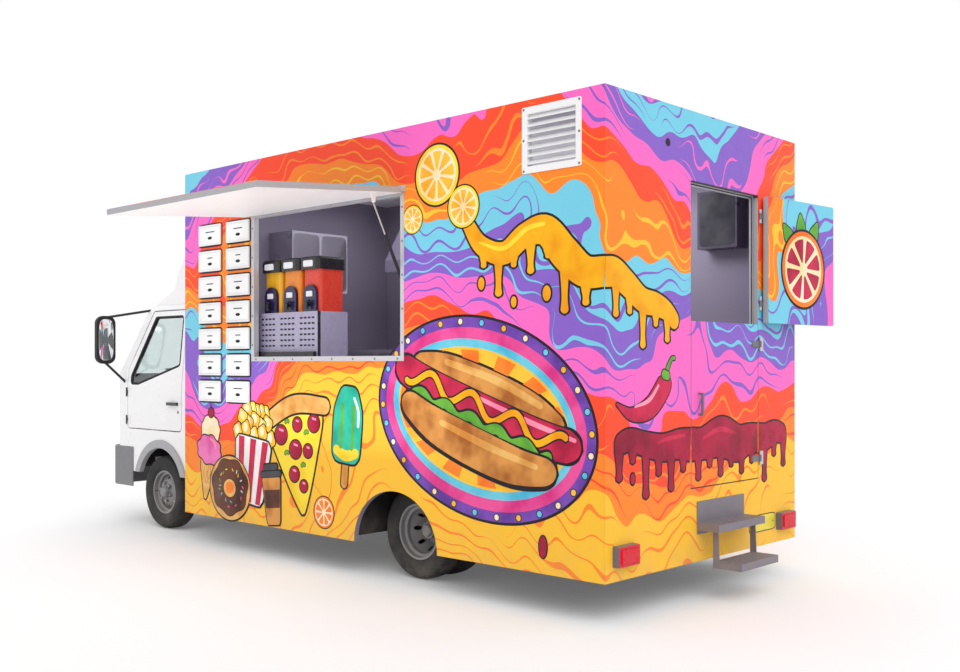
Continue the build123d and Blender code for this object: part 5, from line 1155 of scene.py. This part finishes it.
def lidded_cup(face, level):
    """A takeaway cup with a lid, about one unit tall."""
    cup = [(-0.22, 0.22), (0.22, 0.22), (0.15, -0.48), (-0.15, -0.48)]
    face.plate(rounded(cup, 3, 0.08), "bun", level, 0.018)
    face.plate([(-0.19, 0.02), (0.19, 0.02), (0.165, -0.24), (-0.165, -0.24)], "cocoa", level + 2)
    for u, v in ((0.24, 0.24), (0.17, 0.34)):
        face.bar(mirrored((u, v, 0.05)), "slate", level + 2, 0.014, count=16)


def chilli(face, level):
    """A chilli about one unit long with its stalk."""
    face.bar([(0.40, 0.20, 0.03), (0.52, 0.30, 0.022), (0.60, 0.29, 0.02)], "leaf", level, 0.014, count=20)
    pod = [(-0.58, 0.10, 0.012), (-0.34, -0.08, 0.07), (0.0, -0.10, 0.12), (0.30, 0.05, 0.13)]
    face.bar([*pod, (0.40, 0.16, 0.10)], "sausage", level + 1, 0.018, count=60)
    face.bar([(-0.28, -0.02, 0.012), (0.0, -0.02, 0.025), (0.22, 0.09, 0.018)], "blush", level + 3, count=24)
    face.bar([(0.30, 0.20, 0.05), (0.44, 0.12, 0.05)], "leaf", level + 3, 0.014, count=16)


# The mustard turns the rear left corner at this path point of either wall, and the crimson splash runs past
# the gaps on both sides of the lower leaf, between these places across the rear
MUSTARD_CORNER = (0.0005, 1.94, 0.085)
LEFT_GAP = (0.861, 0.876)
RIGHT_GAP = (1.679, 1.694)

# Prints on the left wall: s forward from the rear corner, and the height
left = Face((LEFT, REAR, 0), (0, 1, 0), (0, 0, 1), (-1, 0, 0))
badge(left.moved((0.945, 1.11), radians(12)))
stream = [(1.16, 2.46, 0.02), (1.04, 2.30, 0.045), (0.92, 2.15, 0.06), (0.74, 2.09, 0.07)]
stream += [(0.58, 2.18, 0.075), (0.42, 2.20, 0.09), (0.28, 2.06, 0.10), (0.14, 1.95, 0.09), MUSTARD_CORNER]
drips = ((0.90, 0.07), (0.78, 0.20), (0.66, 0.06), (0.53, 0.15), (0.40, 0.05), (0.28, 0.24), (0.13, 0.10))
pour(left, stream, drips, "mustard", 0.014, 90, (False, True))
glint = [(0.94, 2.17, 0.008), (0.74, 2.12, 0.014), (0.56, 2.22, 0.016), (0.42, 2.24, 0.012)]
left.bar(glint, "lemon", 2, count=60)
for s, z, r in ((0.41, 1.84, 0.030), (0.92, 1.92, 0.026), (0.66, 1.80, 0.022)):
    left.plate(oval((s, z), (r, r * 1.5), count=28), "mustard", 0, 0.012)
for s, z, size, tilt in ((1.30, 2.62, 0.19, 0.2), (1.07, 2.40, 0.13, 0.9), (1.52, 2.36, 0.09, 0.5)):
    citrus(left.moved((s, z), tilt, size), 2)
ice_lolly(left.moved((2.17, 0.98), radians(5), 0.66), 0)
pizza(left.moved((2.70, 0.78), radians(-12), 0.82), 0)
popcorn(left.moved((3.26, 0.80), radians(7), 0.84), 6)
ice_cream(left.moved((3.86, 0.70), radians(8), 0.60), 2)
doughnut(left.moved((3.56, 0.48), 0, 0.54), 19)
lidded_cup(left.moved((3.02, 0.50), radians(-6), 0.52), 19)
citrus(left.moved((2.42, 0.40), 0.4, 0.11), 2, "tangerine", "cream", "tangerine", 8)
left.plate(oval((0.437, 0.39), (0.028, 0.062)), "crimson", 8, 0.008)
# Prints on the rear wall: w right from the left corner, and the height
back = Face((LEFT, REAR, 0), (1, 0, 0), (0, 0, 1), (0, -1, 0))
stream = [MUSTARD_CORNER, (0.10, 1.94, 0.085), (0.22, 1.88, 0.08), (0.36, 1.80, 0.075)]
stream += [(0.50, 1.78, 0.07), (0.62, 1.74, 0.06), (0.72, 1.66, 0.05)]
drips = ((0.10, 0.16), (0.23, 0.08), (0.36, 0.20), (0.49, 0.06), (0.61, 0.12))
pour(back, stream, drips, "mustard", 0.014, 80, (True, False))
chilli(back.moved((0.42, 1.24), radians(14), 0.54), 0)
splash = [(0.09, 0.97, 0.055), (0.22, 1.01, 0.065), (0.38, 0.98, 0.07), (0.56, 0.95, 0.08)]
splash += [(0.74, 0.96, 0.09), (LEFT_GAP[0], 0.95, 0.10)]
drips = ((0.13, 0.14), (0.26, 0.06), (0.39, 0.24), (0.52, 0.09), (0.65, 0.18), (0.78, 0.07))
pour(back, splash, drips, "crimson", 0.012, 80, (False, True))
back.bar([(0.50, 0.98, 0.008), (0.64, 1.00, 0.014), (0.80, 1.01, 0.010)], "sausage", 2, count=24)
splash = [(RIGHT_GAP[1], 0.95, 0.095), (1.78, 0.95, 0.09), (1.92, 0.98, 0.075), (2.07, 0.95, 0.06)]
drips = ((1.77, 0.20), (1.90, 0.08), (2.03, 0.15))
pour(back, splash, drips, "crimson", 0.012, 50, (True, False))
back.plate(oval((0.26, 0.79), (0.022, 0.031), count=28), "crimson", 0, 0.010)
back.plate(oval((0.617, 2.736), (0.024, 0.024), count=24), "ink", 4)
PLATE_HEIGHT = 0.385
back.plate(oval((1.742, PLATE_HEIGHT), (0.172, 0.052), power=0.25, count=60), "plate_yellow", 3, 0.006)
for w in (1.60, 1.884):
    back.plate(oval((w, PLATE_HEIGHT), (0.007, 0.007), count=14), "nut", 6)
back.shape.piece("print_rear_wall", "vehicle", "livery_panel")

# The same splash goes on over the lower leaf, and a slice is on the inner face of the open upper leaf
lower = Face((LEFT, REAR, 0), (1, 0, 0), (0, 0, 1), (0, -1, 0))
splash = [(LEFT_GAP[1], 0.95, 0.10), (1.00, 0.95, 0.10), (1.22, 0.98, 0.13), (1.42, 0.93, 0.12)]
splash += [(1.56, 0.95, 0.10), (RIGHT_GAP[0], 0.95, 0.095)]
drips = ((0.95, 0.12), (1.08, 0.05), (1.21, 0.115), (1.34, 0.04), (1.47, 0.09), (1.60, 0.06))
pour(lower, splash, drips, "crimson", 0.012, 80, (True, True))
lower.bar([(1.00, 0.98, 0.010), (1.20, 1.03, 0.018), (1.40, 0.99, 0.010)], "sausage", 2, count=30)
lower.shape.piece("print_lower_leaf", "door_lower", "livery_panel")

OPEN_TURN = pi - DOOR_OPEN
leaf_along = np.array((cos(OPEN_TURN), -sin(OPEN_TURN), 0))
leaf_out = np.array((-sin(OPEN_TURN), -cos(OPEN_TURN), 0))
PIN_ASIDE = 0.017
leaf_depth = PANEL + (REAR - DOOR_PIN.y)
leaf_origin = np.array((DOOR_PIN.x, DOOR_PIN.y, 0)) + leaf_out * leaf_depth + leaf_along * PIN_ASIDE
upper = Face(leaf_origin, leaf_along, (0, 0, 1), leaf_out)
SLICE_PLACE = (0.42, 2.08)
for tilt in (-0.5, 0.1, 0.7):
    stem = upper.moved(SLICE_PLACE, tilt)
    stem.bar([(0, 0.20, 0.02), (0, 0.28, 0.055), (0, 0.38, 0.01)], "leaf", 0, 0.010, count=30)
citrus(upper.moved(SLICE_PLACE, 0.3, 0.26), 2, "tangerine", "cream", "sausage", 8)
upper.shape.piece("print_upper_leaf", "door_upper", "livery_panel")


# Blank faces on the menu cards, each with a dark line round it
card_low, card_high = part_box("menu_cards")
CARD_RECESS = 0.007
cards = Face((card_low.x + CARD_RECESS, 0, 0), (0, 1, 0), (0, 0, 1), (-1, 0, 0))
CARD = (0.30, 0.16)
CARD_ROWS = 7
for column in (card_low.y + CARD[0] / 2, card_high.y - CARD[0] / 2):
    for row in range(CARD_ROWS):
        rise = row * (card_high.z - card_low.z - CARD[1]) / (CARD_ROWS - 1)
        middle = (column, card_low.z + CARD[1] / 2 + rise)
        left.plate(oval((middle[0] - REAR, middle[1]), (0.163, 0.093), power=0.2, count=48), "ink", 8)
        cards.plate(oval(middle, (0.137, 0.067), power=0.2, count=48), "card_white", 1)
        reach = 0.05 + 0.015 * sin(2.1 * row + column)
        rule = line_of([(column - reach, middle[1] + 0.025), (column + reach, middle[1] + 0.025)], 0.004)
        cards.bar(rule, "ink", 2, count=8)
        cards.plate(oval((column, middle[1] - 0.022), (0.03, 0.012), count=24), "ink", 2)
cards.shape.piece("card_faces", "vehicle", "white_trim")
left.shape.piece("print_left_wall", "vehicle", "livery_left")

# Screws on the hatch frame's flange and the vent's rim
heads = Face((HATCH_LOW.x, 0, 0), (0, 1, 0), (0, 0, 1), (-1, 0, 0))


def screw(face, place):
    """A domed screw head, its slot a dark bar of painted shade in place of a groove."""
    face.plate(oval(place, (0.0075, 0.0075), count=16), "nut", 4)
    # The slot: a dark bar painted as shade
    face.bar(line_of([(place[0] - 0.005, place[1]), (place[0] + 0.005, place[1])], 0.001), "ink", 5, count=4)


for y in np.linspace(HATCH_LOW.y + 0.06, HATCH_HIGH.y - 0.06, 8):
    screw(heads, (y, HATCH_LOW.z + 0.015))
for z in np.linspace(HATCH_LOW.z + 0.12, HATCH_HIGH.z - 0.10, 5):
    for y in (HATCH_LOW.y + 0.015, HATCH_HIGH.y - 0.015):
        screw(heads, (y, z))
vent_low, vent_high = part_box("side_vent")
rim_face = Face((vent_low.x, 0, 0), (0, 1, 0), (0, 0, 1), (-1, 0, 0), heads.shape)
for y in (vent_low.y + 0.014, vent_high.y - 0.014):
    for z in (vent_low.z + 0.014, (vent_low.z + vent_high.z) / 2, vent_high.z - 0.014):
        screw(rim_face, (y, z))
heads.shape.piece("screws_left", "vehicle", "alloy_trim")

# Tread pattern of raised lozenges on the two rear steps
step_low, step_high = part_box("rear_steps")
treads = Shape()
TREAD_PITCH = 0.030
UPPER_STEP, LOWER_STEP = 0.470, 0.245
for (x_low, x_high), (y_low, y_high), z in (
    ((step_low.x + 0.03, step_high.x - 0.03), (REAR - 0.145, REAR - 0.012), UPPER_STEP),
    ((step_low.x + 0.08, step_high.x - 0.08), (step_low.y + 0.012, step_low.y + 0.168), LOWER_STEP),
):
    step_face = Face((0, 0, z), (1, 0, 0), (0, 1, 0), (0, 0, 1), treads)
    for i, x in enumerate(np.arange(x_low, x_high, TREAD_PITCH)):
        for j, y in enumerate(np.arange(y_low, y_high, TREAD_PITCH)):
            tilt = pi / 4 if (i + j) % 2 else -pi / 4
            step_face.plate(oval((x, y), (0.012, 0.0042), tilt, 12), "steps", 4)
treads.piece("step_treads", "vehicle", "step_steel")

# The kitchen's ceiling light
LAMP_Y = REAR + 2.3

# Kitchen fronts: doors and drawers on the bench and wall cabinet, filters in the hood, and a light batten
BENCH_DEPTH, CABINET_DEPTH, SWITCH_DEPTH = 0.60, 0.32, 0.15
kitchen = Shape()
bench = Face((RIGHT - PANEL - BENCH_DEPTH, 0, 0), (0, 1, 0), (0, 0, 1), (-1, 0, 0), kitchen)
bench_start, bench_end = REAR + 2.16, BOX_FRONT - 0.06
for i in range(4):
    middle = bench_start + (i + 0.5) * (bench_end - bench_start) / 4
    half = (bench_end - bench_start) / 8 - 0.012
    for height, reach in ((1.02, 0.30), (1.44, 0.09)):
        bench.plate(oval((middle, height), (half, reach), power=0.2, count=48), "steel", 4)
    front, grip = bench.origin[0] - 0.001, bench.origin[0] - 0.028
    for z in (1.27, 1.47):
        pull = [(front, middle - 0.09, z), (grip, middle - 0.085, z)]
        pull += [(grip, middle + 0.085, z), (front, middle + 0.09, z)]
        kitchen.add(tube(pull, 0.006), "nut")
cabinet = Face((MIDDLE, BOX_FRONT - PANEL - CABINET_DEPTH, 0), (1, 0, 0), (0, 0, 1), (0, -1, 0), kitchen)
for u in (-0.15, 0.15):
    cabinet.plate(oval((u, 2.305), (0.138, 0.235), power=0.2, count=48), "steel", 4)
    pull = [(MIDDLE + u * 0.2, cabinet.origin[1] - 0.02, z) for z in (2.12, 2.18, 2.24)]
    kitchen.add(tube(pull, 0.006), "nut")
switches = Face((RIGHT - PANEL - SWITCH_DEPTH, REAR, 0), (0, 1, 0), (0, 0, 1), (-1, 0, 0), kitchen)
switches.plate(oval((0.50, 2.465), (0.145, 0.19), power=0.2, count=48), "slate", 4)
hood_low, hood_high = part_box("extraction_hood")
hood = Face((hood_low.x, 0, hood_low.z), (0, 1, 0), (1, 0, 0), (0, 0, -1), kitchen)
for i in range(3):
    middle = hood_low.y + (i + 0.5) * (hood_high.y - hood_low.y) / 3
    hood.plate(oval((middle, 0.30), (0.22, 0.22), power=0.2, count=48), "slate", 4)
    for j in range(9):
        u = middle - 0.18 + j * 0.045
        hood.bar([(u, 0.10, 0.008), (u, 0.50, 0.008)], "steel", 8, count=6)
batten_under = BOX_TOP - PANEL
kitchen.add(cushion((MIDDLE, LAMP_Y, batten_under - 0.018), (0.06, 0.65, 0.016), 0.25), "trim_white")
kitchen.add(cushion((MIDDLE, LAMP_Y, batten_under - 0.034), (0.045, 0.62, 0.010), 0.25), "lit_panel")
kitchen.piece("kitchen_fronts", "vehicle", "stainless")

# Black seal round the rear doorway, on its stop
stop_low, stop_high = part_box("door_frame")
seal_y = REAR + PANEL + 0.006
corners = [(stop_low.x + 0.03, FLOOR_TOP + 0.01), (stop_low.x + 0.03, stop_high.z - 0.03)]
corners += [(stop_high.x - 0.03, stop_high.z - 0.03), (stop_high.x - 0.03, FLOOR_TOP + 0.01)]
seal = Shape()
for start, end in zip(corners[:-1], corners[1:]):
    seal.add(tube([(x, seal_y, z) for x, z in np.linspace(start, end, 6)], 0.0035, 8), "rubber")
seal.piece("door_seal", "vehicle", "black_plastic")


# Black seals round the cab's glass, along the outline of each glass
def hull(flat):
    """The numbers of the points on the convex outline of flat points, in order: the points are gone through
    from left to right and back, and one is dropped where the way would bend inward."""

    def turn(a, b, c):
        """Twice the area of a triangle, positive where it turns left."""
        return (b[0] - a[0]) * (c[1] - a[1]) - (b[1] - a[1]) * (c[0] - a[0])

    def chain(run):
        """The outline's points on one side of a run."""
        kept = []
        for i in run:
            while len(kept) > 1 and turn(flat[kept[-2]], flat[kept[-1]], flat[i]) < -1e-7:
                kept.pop()
            kept.append(i)
        return kept[:-1]

    order = sorted(range(len(flat)), key=lambda i: tuple(flat[i].round(5)))
    return chain(order) + chain(order[::-1])


def glass_edge(node, outward, across, count=160):
    """The outline of a glass on the face that looks outward, as points at equal distances."""
    mesh = NODES[node].data
    outer = {i for face in mesh.polygons if face.normal.dot(Vector(outward)) > 0.2 for i in face.vertices}
    points = np.unique(np.array([mesh.vertices[i].co for i in outer]).round(5), axis=0)
    edge = points[hull(points[:, across])]
    edge = np.concatenate([edge, edge[:1]])
    way = np.concatenate([[0], np.cumsum(np.linalg.norm(np.diff(edge, axis=0), axis=1))])
    places = np.linspace(0, way[-1], count, endpoint=False)
    return np.stack([np.interp(places, way, edge[:, i]) for i in range(3)], -1)


for node, outward, across, body in (
    ("windscreen", (0, 1, 0), [0, 2], "vehicle"),
    ("door_glass_left", (-1, 0, 0), [1, 2], "cab_door_l"),
    ("door_glass_right", (1, 0, 0), [1, 2], "cab_door_r"),
):
    edge = glass_edge(node, outward, across) + 0.002 * np.array(outward)
    Shape().add(tube(edge, 0.014, 12, closed=True), "rubber").piece("seal_" + node, body, "black_plastic")


# Wipers on the windscreen, laid on the surface by rays from ahead
def surface_tree(node):
    """The faces of a CAD node, ready for rays."""
    mesh = NODES[node].data
    return BVHTree.FromPolygons([v.co for v in mesh.vertices], [list(p.vertices) for p in mesh.polygons])


screen_tree, shell_tree = surface_tree("windscreen"), surface_tree("cab_shell")


def ahead_of(tree, x, z, gap):
    """The point a gap ahead of a surface at a place across and up."""
    hit = tree.ray_cast(Vector((x, CAB_HIGH.y + 1, z)), Vector((0, -1, 0)))[0]
    return (x, hit.y + gap, z)


# Heights of a wiper's pivot, elbow and grip and of its blade's low end, and its pivot's profile
PIVOT_UP, ELBOW_UP, GRIP_UP, BLADE_UP = 1.285, 1.375, 1.40, 1.385
BOSS = [(0, -0.03), (0.020, -0.03), (0.020, 0.004), (0.014, 0.012), (0, 0.014)]
wipers = Shape()
for offset in (-0.44, 0.16):
    x = MIDDLE + offset
    pivot = ahead_of(shell_tree, x, PIVOT_UP, 0.012)
    elbow = ahead_of(screen_tree, x + 0.10, ELBOW_UP, 0.045)
    grip = ahead_of(screen_tree, x + 0.28, GRIP_UP, 0.030)
    blade = [ahead_of(screen_tree, x + u, BLADE_UP + 0.05 * u, 0.012) for u in np.linspace(0.02, 0.52, 12)]
    wipers.add(turn_round(BOSS, pivot, (0, 1, 0.2), 20), "black")
    wipers.add(tube([pivot, elbow, grip, blade[6]], 0.006, 8), "black")
    wipers.add(tube(blade, 0.007, 8), "rubber")
wipers.piece("wipers", "vehicle", "black_plastic")

# Mirror glasses, door locks, and bowls with bulbs in the head lamps
# Each has its place aside from the middle, back from the cab's front, and its height
MIRROR_PLACE = (1.07, 0.2195, 1.65)
LOCK_BACK, LOCK_UP = 1.10, 1.02
LAMP_ASIDE, LAMP_BACK, LAMP_UP = 0.61, 0.078, 0.85
sight = Shape()
for side in (-1, 1):
    origin = (MIDDLE + side * MIRROR_PLACE[0], CAB_HIGH.y - MIRROR_PLACE[1], MIRROR_PLACE[2])
    mirror_face = Face(origin, (1, 0, 0), (0, 0, 1), (0, -1, 0), sight)
    mirror_face.plate(oval((0, 0), (0.070, 0.185), power=0.55, count=64), "mirror", 6)
sight.piece("mirror_glasses", "vehicle", "chrome_rod")
for side, body in ((-1, "cab_door_l"), (1, "cab_door_r")):
    centre = (MIDDLE + side * (CAB_HALF - 0.0005), CAB_HIGH.y - LOCK_BACK, LOCK_UP)
    profile = [(0, -0.004), (0.014, -0.004), (0.014, 0.002), (0.011, 0.004), (0, 0.004)]
    lock = Shape().add(turn_round(profile, centre, (side, 0, 0), 24), "nut")
    lock.piece("door_lock_" + ("left" if side < 0 else "right"), body, "chrome_rod")
bowls = Shape()
BOWL = [(0, -0.004), (0.052, 0.012), (0.066, 0.050), (0.062, 0.052), (0.048, 0.018), (0, 0.004)]
BULB = [(0, 0.004), (0.008, 0.004), (0.010, 0.024), (0.006, 0.032), (0, 0.034)]
for side in (-1, 1):
    for u in (-0.045, 0.055):
        centre = (MIDDLE + side * (LAMP_ASIDE + u), CAB_HIGH.y - LAMP_BACK - 0.02 * (u > 0), LAMP_UP)
        shrink = 0.78 if u > 0 else 1
        bowls.add(turn_round([(r * shrink, h) for r, h in BOWL], centre, (0, 1, 0), 40), "chrome")
        bowls.add(turn_round(BULB, centre, (0, 1, 0), 16), "paper")
bowls.piece("lamp_bowls", "vehicle", "lamp_glass")

# Tyres: each tyre's section is a closed superellipse, cut by zigzag grooves and shoulder slots
TREAD_DEPTH = 0.007
TREAD_BLOCKS = 72
RIM_INNER = 0.176
TYRE_POWER = 2 / 3.2
GROOVES = (-0.52, -0.18, 0.18, 0.52)
# How far aside a single and a twin wheel's disc and hub end lie, and the nuts' circle
DISC_ASIDE = (0.836, 0.715)
HUB_ASIDE = (0.861, 0.791)
NUT_CIRCLE = 0.078
NUT = [(0, 0), (0.015, 0), (0.015, 0.017), (0.011, 0.023), (0, 0.024)]
WASHER = [(0, 0), (0.019, 0), (0.019, 0.003), (0, 0.003)]
CAP = [(0, -0.004), (0.044, -0.004), (0.044, 0.010), (0.036, 0.020), (0.018, 0.025), (0, 0.026)]
WHEELS = (
    ("front_tyre_left", "wheel_fl", -1, False),
    ("front_tyre_right", "wheel_fr", 1, False),
    ("rear_tyres_left", "wheels_rl", -1, True),
    ("rear_tyres_right", "wheels_rr", 1, True),
)
TYRE_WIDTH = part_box("front_tyre_left")[1].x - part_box("front_tyre_left")[0].x


def tyre_surface(centre, half_width, outer, inner, turns=300, columns=84):
    """A tyre about the X axis. Its section is a superellipse between the inner and outer radius, and the
    tread sinks where the distance from a zigzag groove or a shoulder slot is small."""
    angle = around(turns)[:, None]
    section = around(columns)
    aside_share = blunted(np.cos(section), TYRE_POWER)
    up_share = blunted(np.sin(section), TYRE_POWER)
    lateral = half_width * aside_share[None] * np.ones_like(angle)
    radius = (outer + inner) / 2 + (outer - inner) / 2 * up_share[None] * np.ones_like(angle)
    share = lateral / half_width
    tread = np.clip((radius - (outer - 0.022)) / 0.008, 0, 1)
    zigzag = 0.035 * np.arcsin(np.sin(angle * TREAD_BLOCKS / 2)) * 2 / pi
    sink = np.zeros_like(radius)
    for groove in GROOVES:
        sink = np.maximum(sink, np.clip(1.6 - np.abs(share - groove - zigzag) / 0.028, 0, 1))
    slot = np.abs(((angle * TREAD_BLOCKS / (2 * pi)) % 1) - 0.5)
    sink = np.maximum(sink, (slot < 0.13) * np.clip((np.abs(share) - 0.56) / 0.05, 0, 1))
    radius = radius - TREAD_DEPTH * sink * tread
    rib = 0.0016 * np.clip(1 - np.abs(radius - (outer * 0.42 + inner * 0.58)) / 0.006, 0, 1)
    lateral = lateral + np.sign(share) * rib
    x, y, z = lateral, radius * np.cos(angle), radius * np.sin(angle)
    grid = np.stack([x + centre[0], y + centre[1], z + centre[2]], -1)
    return np.concatenate([grid, grid[:1]])


for node, body, side, twin in WHEELS:
    low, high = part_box(node)
    middle = (low + high) / 2
    outer = (high.z - low.z) / 2
    places = (low.x + TYRE_WIDTH / 2, high.x - TYRE_WIDTH / 2) if twin else (middle.x,)
    tyres = Shape()
    for x in places:
        tyres.add(tyre_surface((x, middle.y, middle.z), TYRE_WIDTH / 2, outer, RIM_INNER), "tyre")
    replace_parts(tyres.piece(node.replace("tyre", "tread"), body, "tyre", sharp=28), node)
    # Six nuts on the disc, a hub cap and a tyre valve
    disc = MIDDLE + side * DISC_ASIDE[twin]
    hub_end = MIDDLE + side * HUB_ASIDE[twin]
    fixings = Shape()
    for i in range(6):
        turn = pi * i / 3 + 0.3
        centre = (disc - side * 0.001, middle.y + NUT_CIRCLE * cos(turn), middle.z + NUT_CIRCLE * sin(turn))
        fixings.add(turn_round(NUT, centre, (side, 0, 0), 6), "nut")
        fixings.add(turn_round(WASHER, centre, (side, 0, 0), 24), "nut")
    fixings.add(turn_round(CAP, (hub_end, middle.y, middle.z), (side, 0, 0), 32), "rim")
    stem = [(disc + side * (0.002 + 0.010 * i), middle.y + 0.135 + 0.001 * i, middle.z) for i in range(4)]
    fixings.add(tube(stem, 0.004, 8), "rubber")
    fixings.piece("wheel_nuts_" + body, body, "wheel_steel")

# Seats: pads blown up as cloth, with sewn channels, on a tray
SEAT_REAR = CAB_HIGH.y - 1.260
SEAT_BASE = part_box("seats")[0].z
SEAT_ASIDE = 0.40
PAD_VOXEL, PAD_CAP = 0.009, 0.012
AIR_PRESSURE, AIR_FRAMES = 4, 20


def puffed(shape, voxel, cap):
    """Closed pads swollen as cloth: remeshed evenly and pushed out by pressure, no point past a cap."""
    item = bpy.data.objects.new("pad_start", shape.mesh("pad_start"))
    scene = bpy.context.scene
    scene.collection.objects.link(item)
    bpy.context.view_layer.objects.active = item
    even = item.modifiers.new("even", "REMESH")
    even.mode, even.voxel_size = "VOXEL", voxel
    bpy.ops.object.modifier_apply(modifier="even")

    def places():
        """The points of the pads as they stand."""
        values = np.empty(len(item.data.vertices) * 3, np.float32)
        item.data.vertices.foreach_get("co", values)
        return values.reshape(-1, 3).astype(float)

    start = places()
    air = item.modifiers.new("air", "CLOTH")
    air.settings.use_pressure = True
    air.settings.uniform_pressure_force = AIR_PRESSURE
    air.settings.effector_weights.gravity = 0
    air.point_cache.frame_end = AIR_FRAMES
    for step in range(1, AIR_FRAMES + 1):
        scene.frame_set(step)
    bpy.ops.object.modifier_apply(modifier="air")
    moved = places() - start
    length = np.linalg.norm(moved, axis=1, keepdims=True)
    start = start + moved * np.minimum(1, cap / np.maximum(length, 1e-9))
    item.data.vertices.foreach_set("co", start.astype(np.float32).ravel())
    item.data.update()
    scene.frame_set(1)
    normals = np.empty(len(start) * 3, np.float32)
    item.data.vertices.foreach_get("normal", normals)
    faces = [list(face.vertices) for face in item.data.polygons]
    bpy.data.objects.remove(item)
    return start, normals.reshape(-1, 3).astype(float), faces


pads = Shape()
for y, z, half, power, lean in (
    (0.300, 0.084, (0.228, 0.226, 0.066), 0.34, 0),
    (0.030, 0.405, (0.222, 0.040, 0.316), 0.34, 5.2),
    (-0.003, 0.825, (0.118, 0.028, 0.064), 0.42, 0),
):
    pads.add(cushion((0, SEAT_REAR + y, SEAT_BASE + z), half, power, lean=radians(lean)), "cloth")
swollen, swell, pad_faces = puffed(pads, PAD_VOXEL, PAD_CAP)
CHANNELS = (-0.115, 0.115)
groove = sum(np.exp(-(((swollen[:, 0] - x) / 0.008) ** 2)) for x in CHANNELS)
on_front = (swollen[:, 2] < SEAT_BASE + 0.73) * np.clip(swell[:, 1] + swell[:, 2], 0, 1)
swollen = swollen - swell * (0.007 * groove * on_front)[:, None]
both_seats = np.concatenate([swollen + (MIDDLE + side * SEAT_ASIDE, 0, 0) for side in (-1, 1)])
pad_mesh = bpy.data.meshes.new("seat_pads")
second_faces = [[i + len(swollen) for i in face] for face in pad_faces]
pad_mesh.from_pydata(both_seats.tolist(), [], pad_faces + second_faces)
pad_mesh.materials.append(M["cloth"])
pad_mesh.shade_smooth()
seat_pads = place_piece(pad_mesh, "seat_pads", "vehicle")
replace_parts(seat_pads, "seats")
mounts = Shape()
for side in (-1, 1):
    x = MIDDLE + side * SEAT_ASIDE
    mounts.add(cushion((x, SEAT_REAR + 0.30, SEAT_BASE + 0.012), (0.225, 0.215, 0.012), 0.25), "dash")
    for post in (-0.055, 0.055):
        path = [(x + post, SEAT_REAR - 0.002, SEAT_BASE + z) for z in (0.69, 0.72, 0.75, 0.78)]
        mounts.add(tube(path, 0.006), "nut")
    for part in (-1, 1):
        hinge = (x + part * 0.226, SEAT_REAR + 0.07, SEAT_BASE + 0.075)
        cover = [(0, -0.012), (0.045, -0.012), (0.045, 0.004), (0.036, 0.010), (0, 0.010)]
        mounts.add(turn_round(cover, hinge, (part, 0, 0), 28), "dash")
mounts.piece("seat_mounts", "vehicle", "black_plastic")

# Light, floor and background
world = bpy.data.worlds.new("studio")
bpy.context.scene.world = world
world.use_nodes = True
sky = Tree(world.node_tree)
sky.nodes.clear()
rays = sky.node("LightPath").outputs
seen = sky.either(rays["Is Camera Ray"], rays["Is Glossy Ray"], rays["Is Transmission Ray"])
SKY_LEVEL = 0.74
level = sky.spread(seen, 0, 1, SKY_LEVEL, 1.0)
background = sky.node("Background", {"Color": (1, 1, 1, 1), "Strength": level})
sky.put(sky.node("OutputWorld").inputs["Surface"], background.outputs[0])


def lamp(name, kind, energy, place, direction, **settings):
    """A light of a kind at a place that shines along a direction."""
    light = bpy.data.lights.new(name, kind)
    light.energy = energy
    for key, value in settings.items():
        setattr(light, key, value)
    item = bpy.data.objects.new(name, light)
    item.location = place
    item.rotation_euler = Vector(direction).to_track_quat("-Z", "Y").to_euler()
    item.visible_camera = False
    item.visible_glossy = kind == "SUN"
    bpy.context.scene.collection.objects.link(item)


lamp("key", "SUN", 1.15, (0, 0, 5), (0.42, 0.62, -0.70), angle=radians(50))
lamp("fill", "SUN", 0.35, (0, 0, 5), (-0.75, -0.45, -0.45), angle=radians(70))
for name, energy, place, direction, wide, long in (
    ("kitchen", 24, (MIDDLE, LAMP_Y, BOX_TOP - 0.12), (0, 0, -1), 1.2, 3.0),
    ("uplight", 11, (MIDDLE, REAR + 2.1, 1.9), (0, 0, 1), 1.0, 3.2),
    ("doorway", 8, (MIDDLE + 0.3, REAR + 0.9, BOX_TOP - 0.3), (0.3, -0.2, -1), 0.6, 0.6),
    ("below_flap", 14, (LEFT - 1.0, HATCH_PIN.y, 0.8), (0, 0, 1), 1.6, 2.4),
):
    lamp(name, "AREA", energy, place, direction, shape="RECTANGLE", size=wide, size_y=long)

FLOOR_HALF = 60
FLOOR_GLOW = 0.10
floor_mesh = bpy.data.meshes.new("floor")
corners = [(x * FLOOR_HALF, y * FLOOR_HALF, 0) for x, y in ((-1, -1), (1, -1), (1, 1), (-1, 1))]
floor_mesh.from_pydata(corners, [], [(0, 1, 2, 3)])
floor = bpy.data.objects.new("floor", floor_mesh)
bpy.context.scene.collection.objects.link(floor)
ground = Finish("floor_white", rough=0.9)
ground.set("Base Color", "#F4F4F4")
lit = ground.t.node("LightPath").outputs["Is Camera Ray"]
ground.set("Emission Color", (1, 1, 1, 1))
ground.set("Emission Strength", ground.t.math("MULTIPLY", lit, FLOOR_GLOW))
floor_mesh.materials.append(ground.material)
floor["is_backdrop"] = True

size = {"cad": [list(corner) for corner in CAD_BOX], "visual": [list(corner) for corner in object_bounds()]}
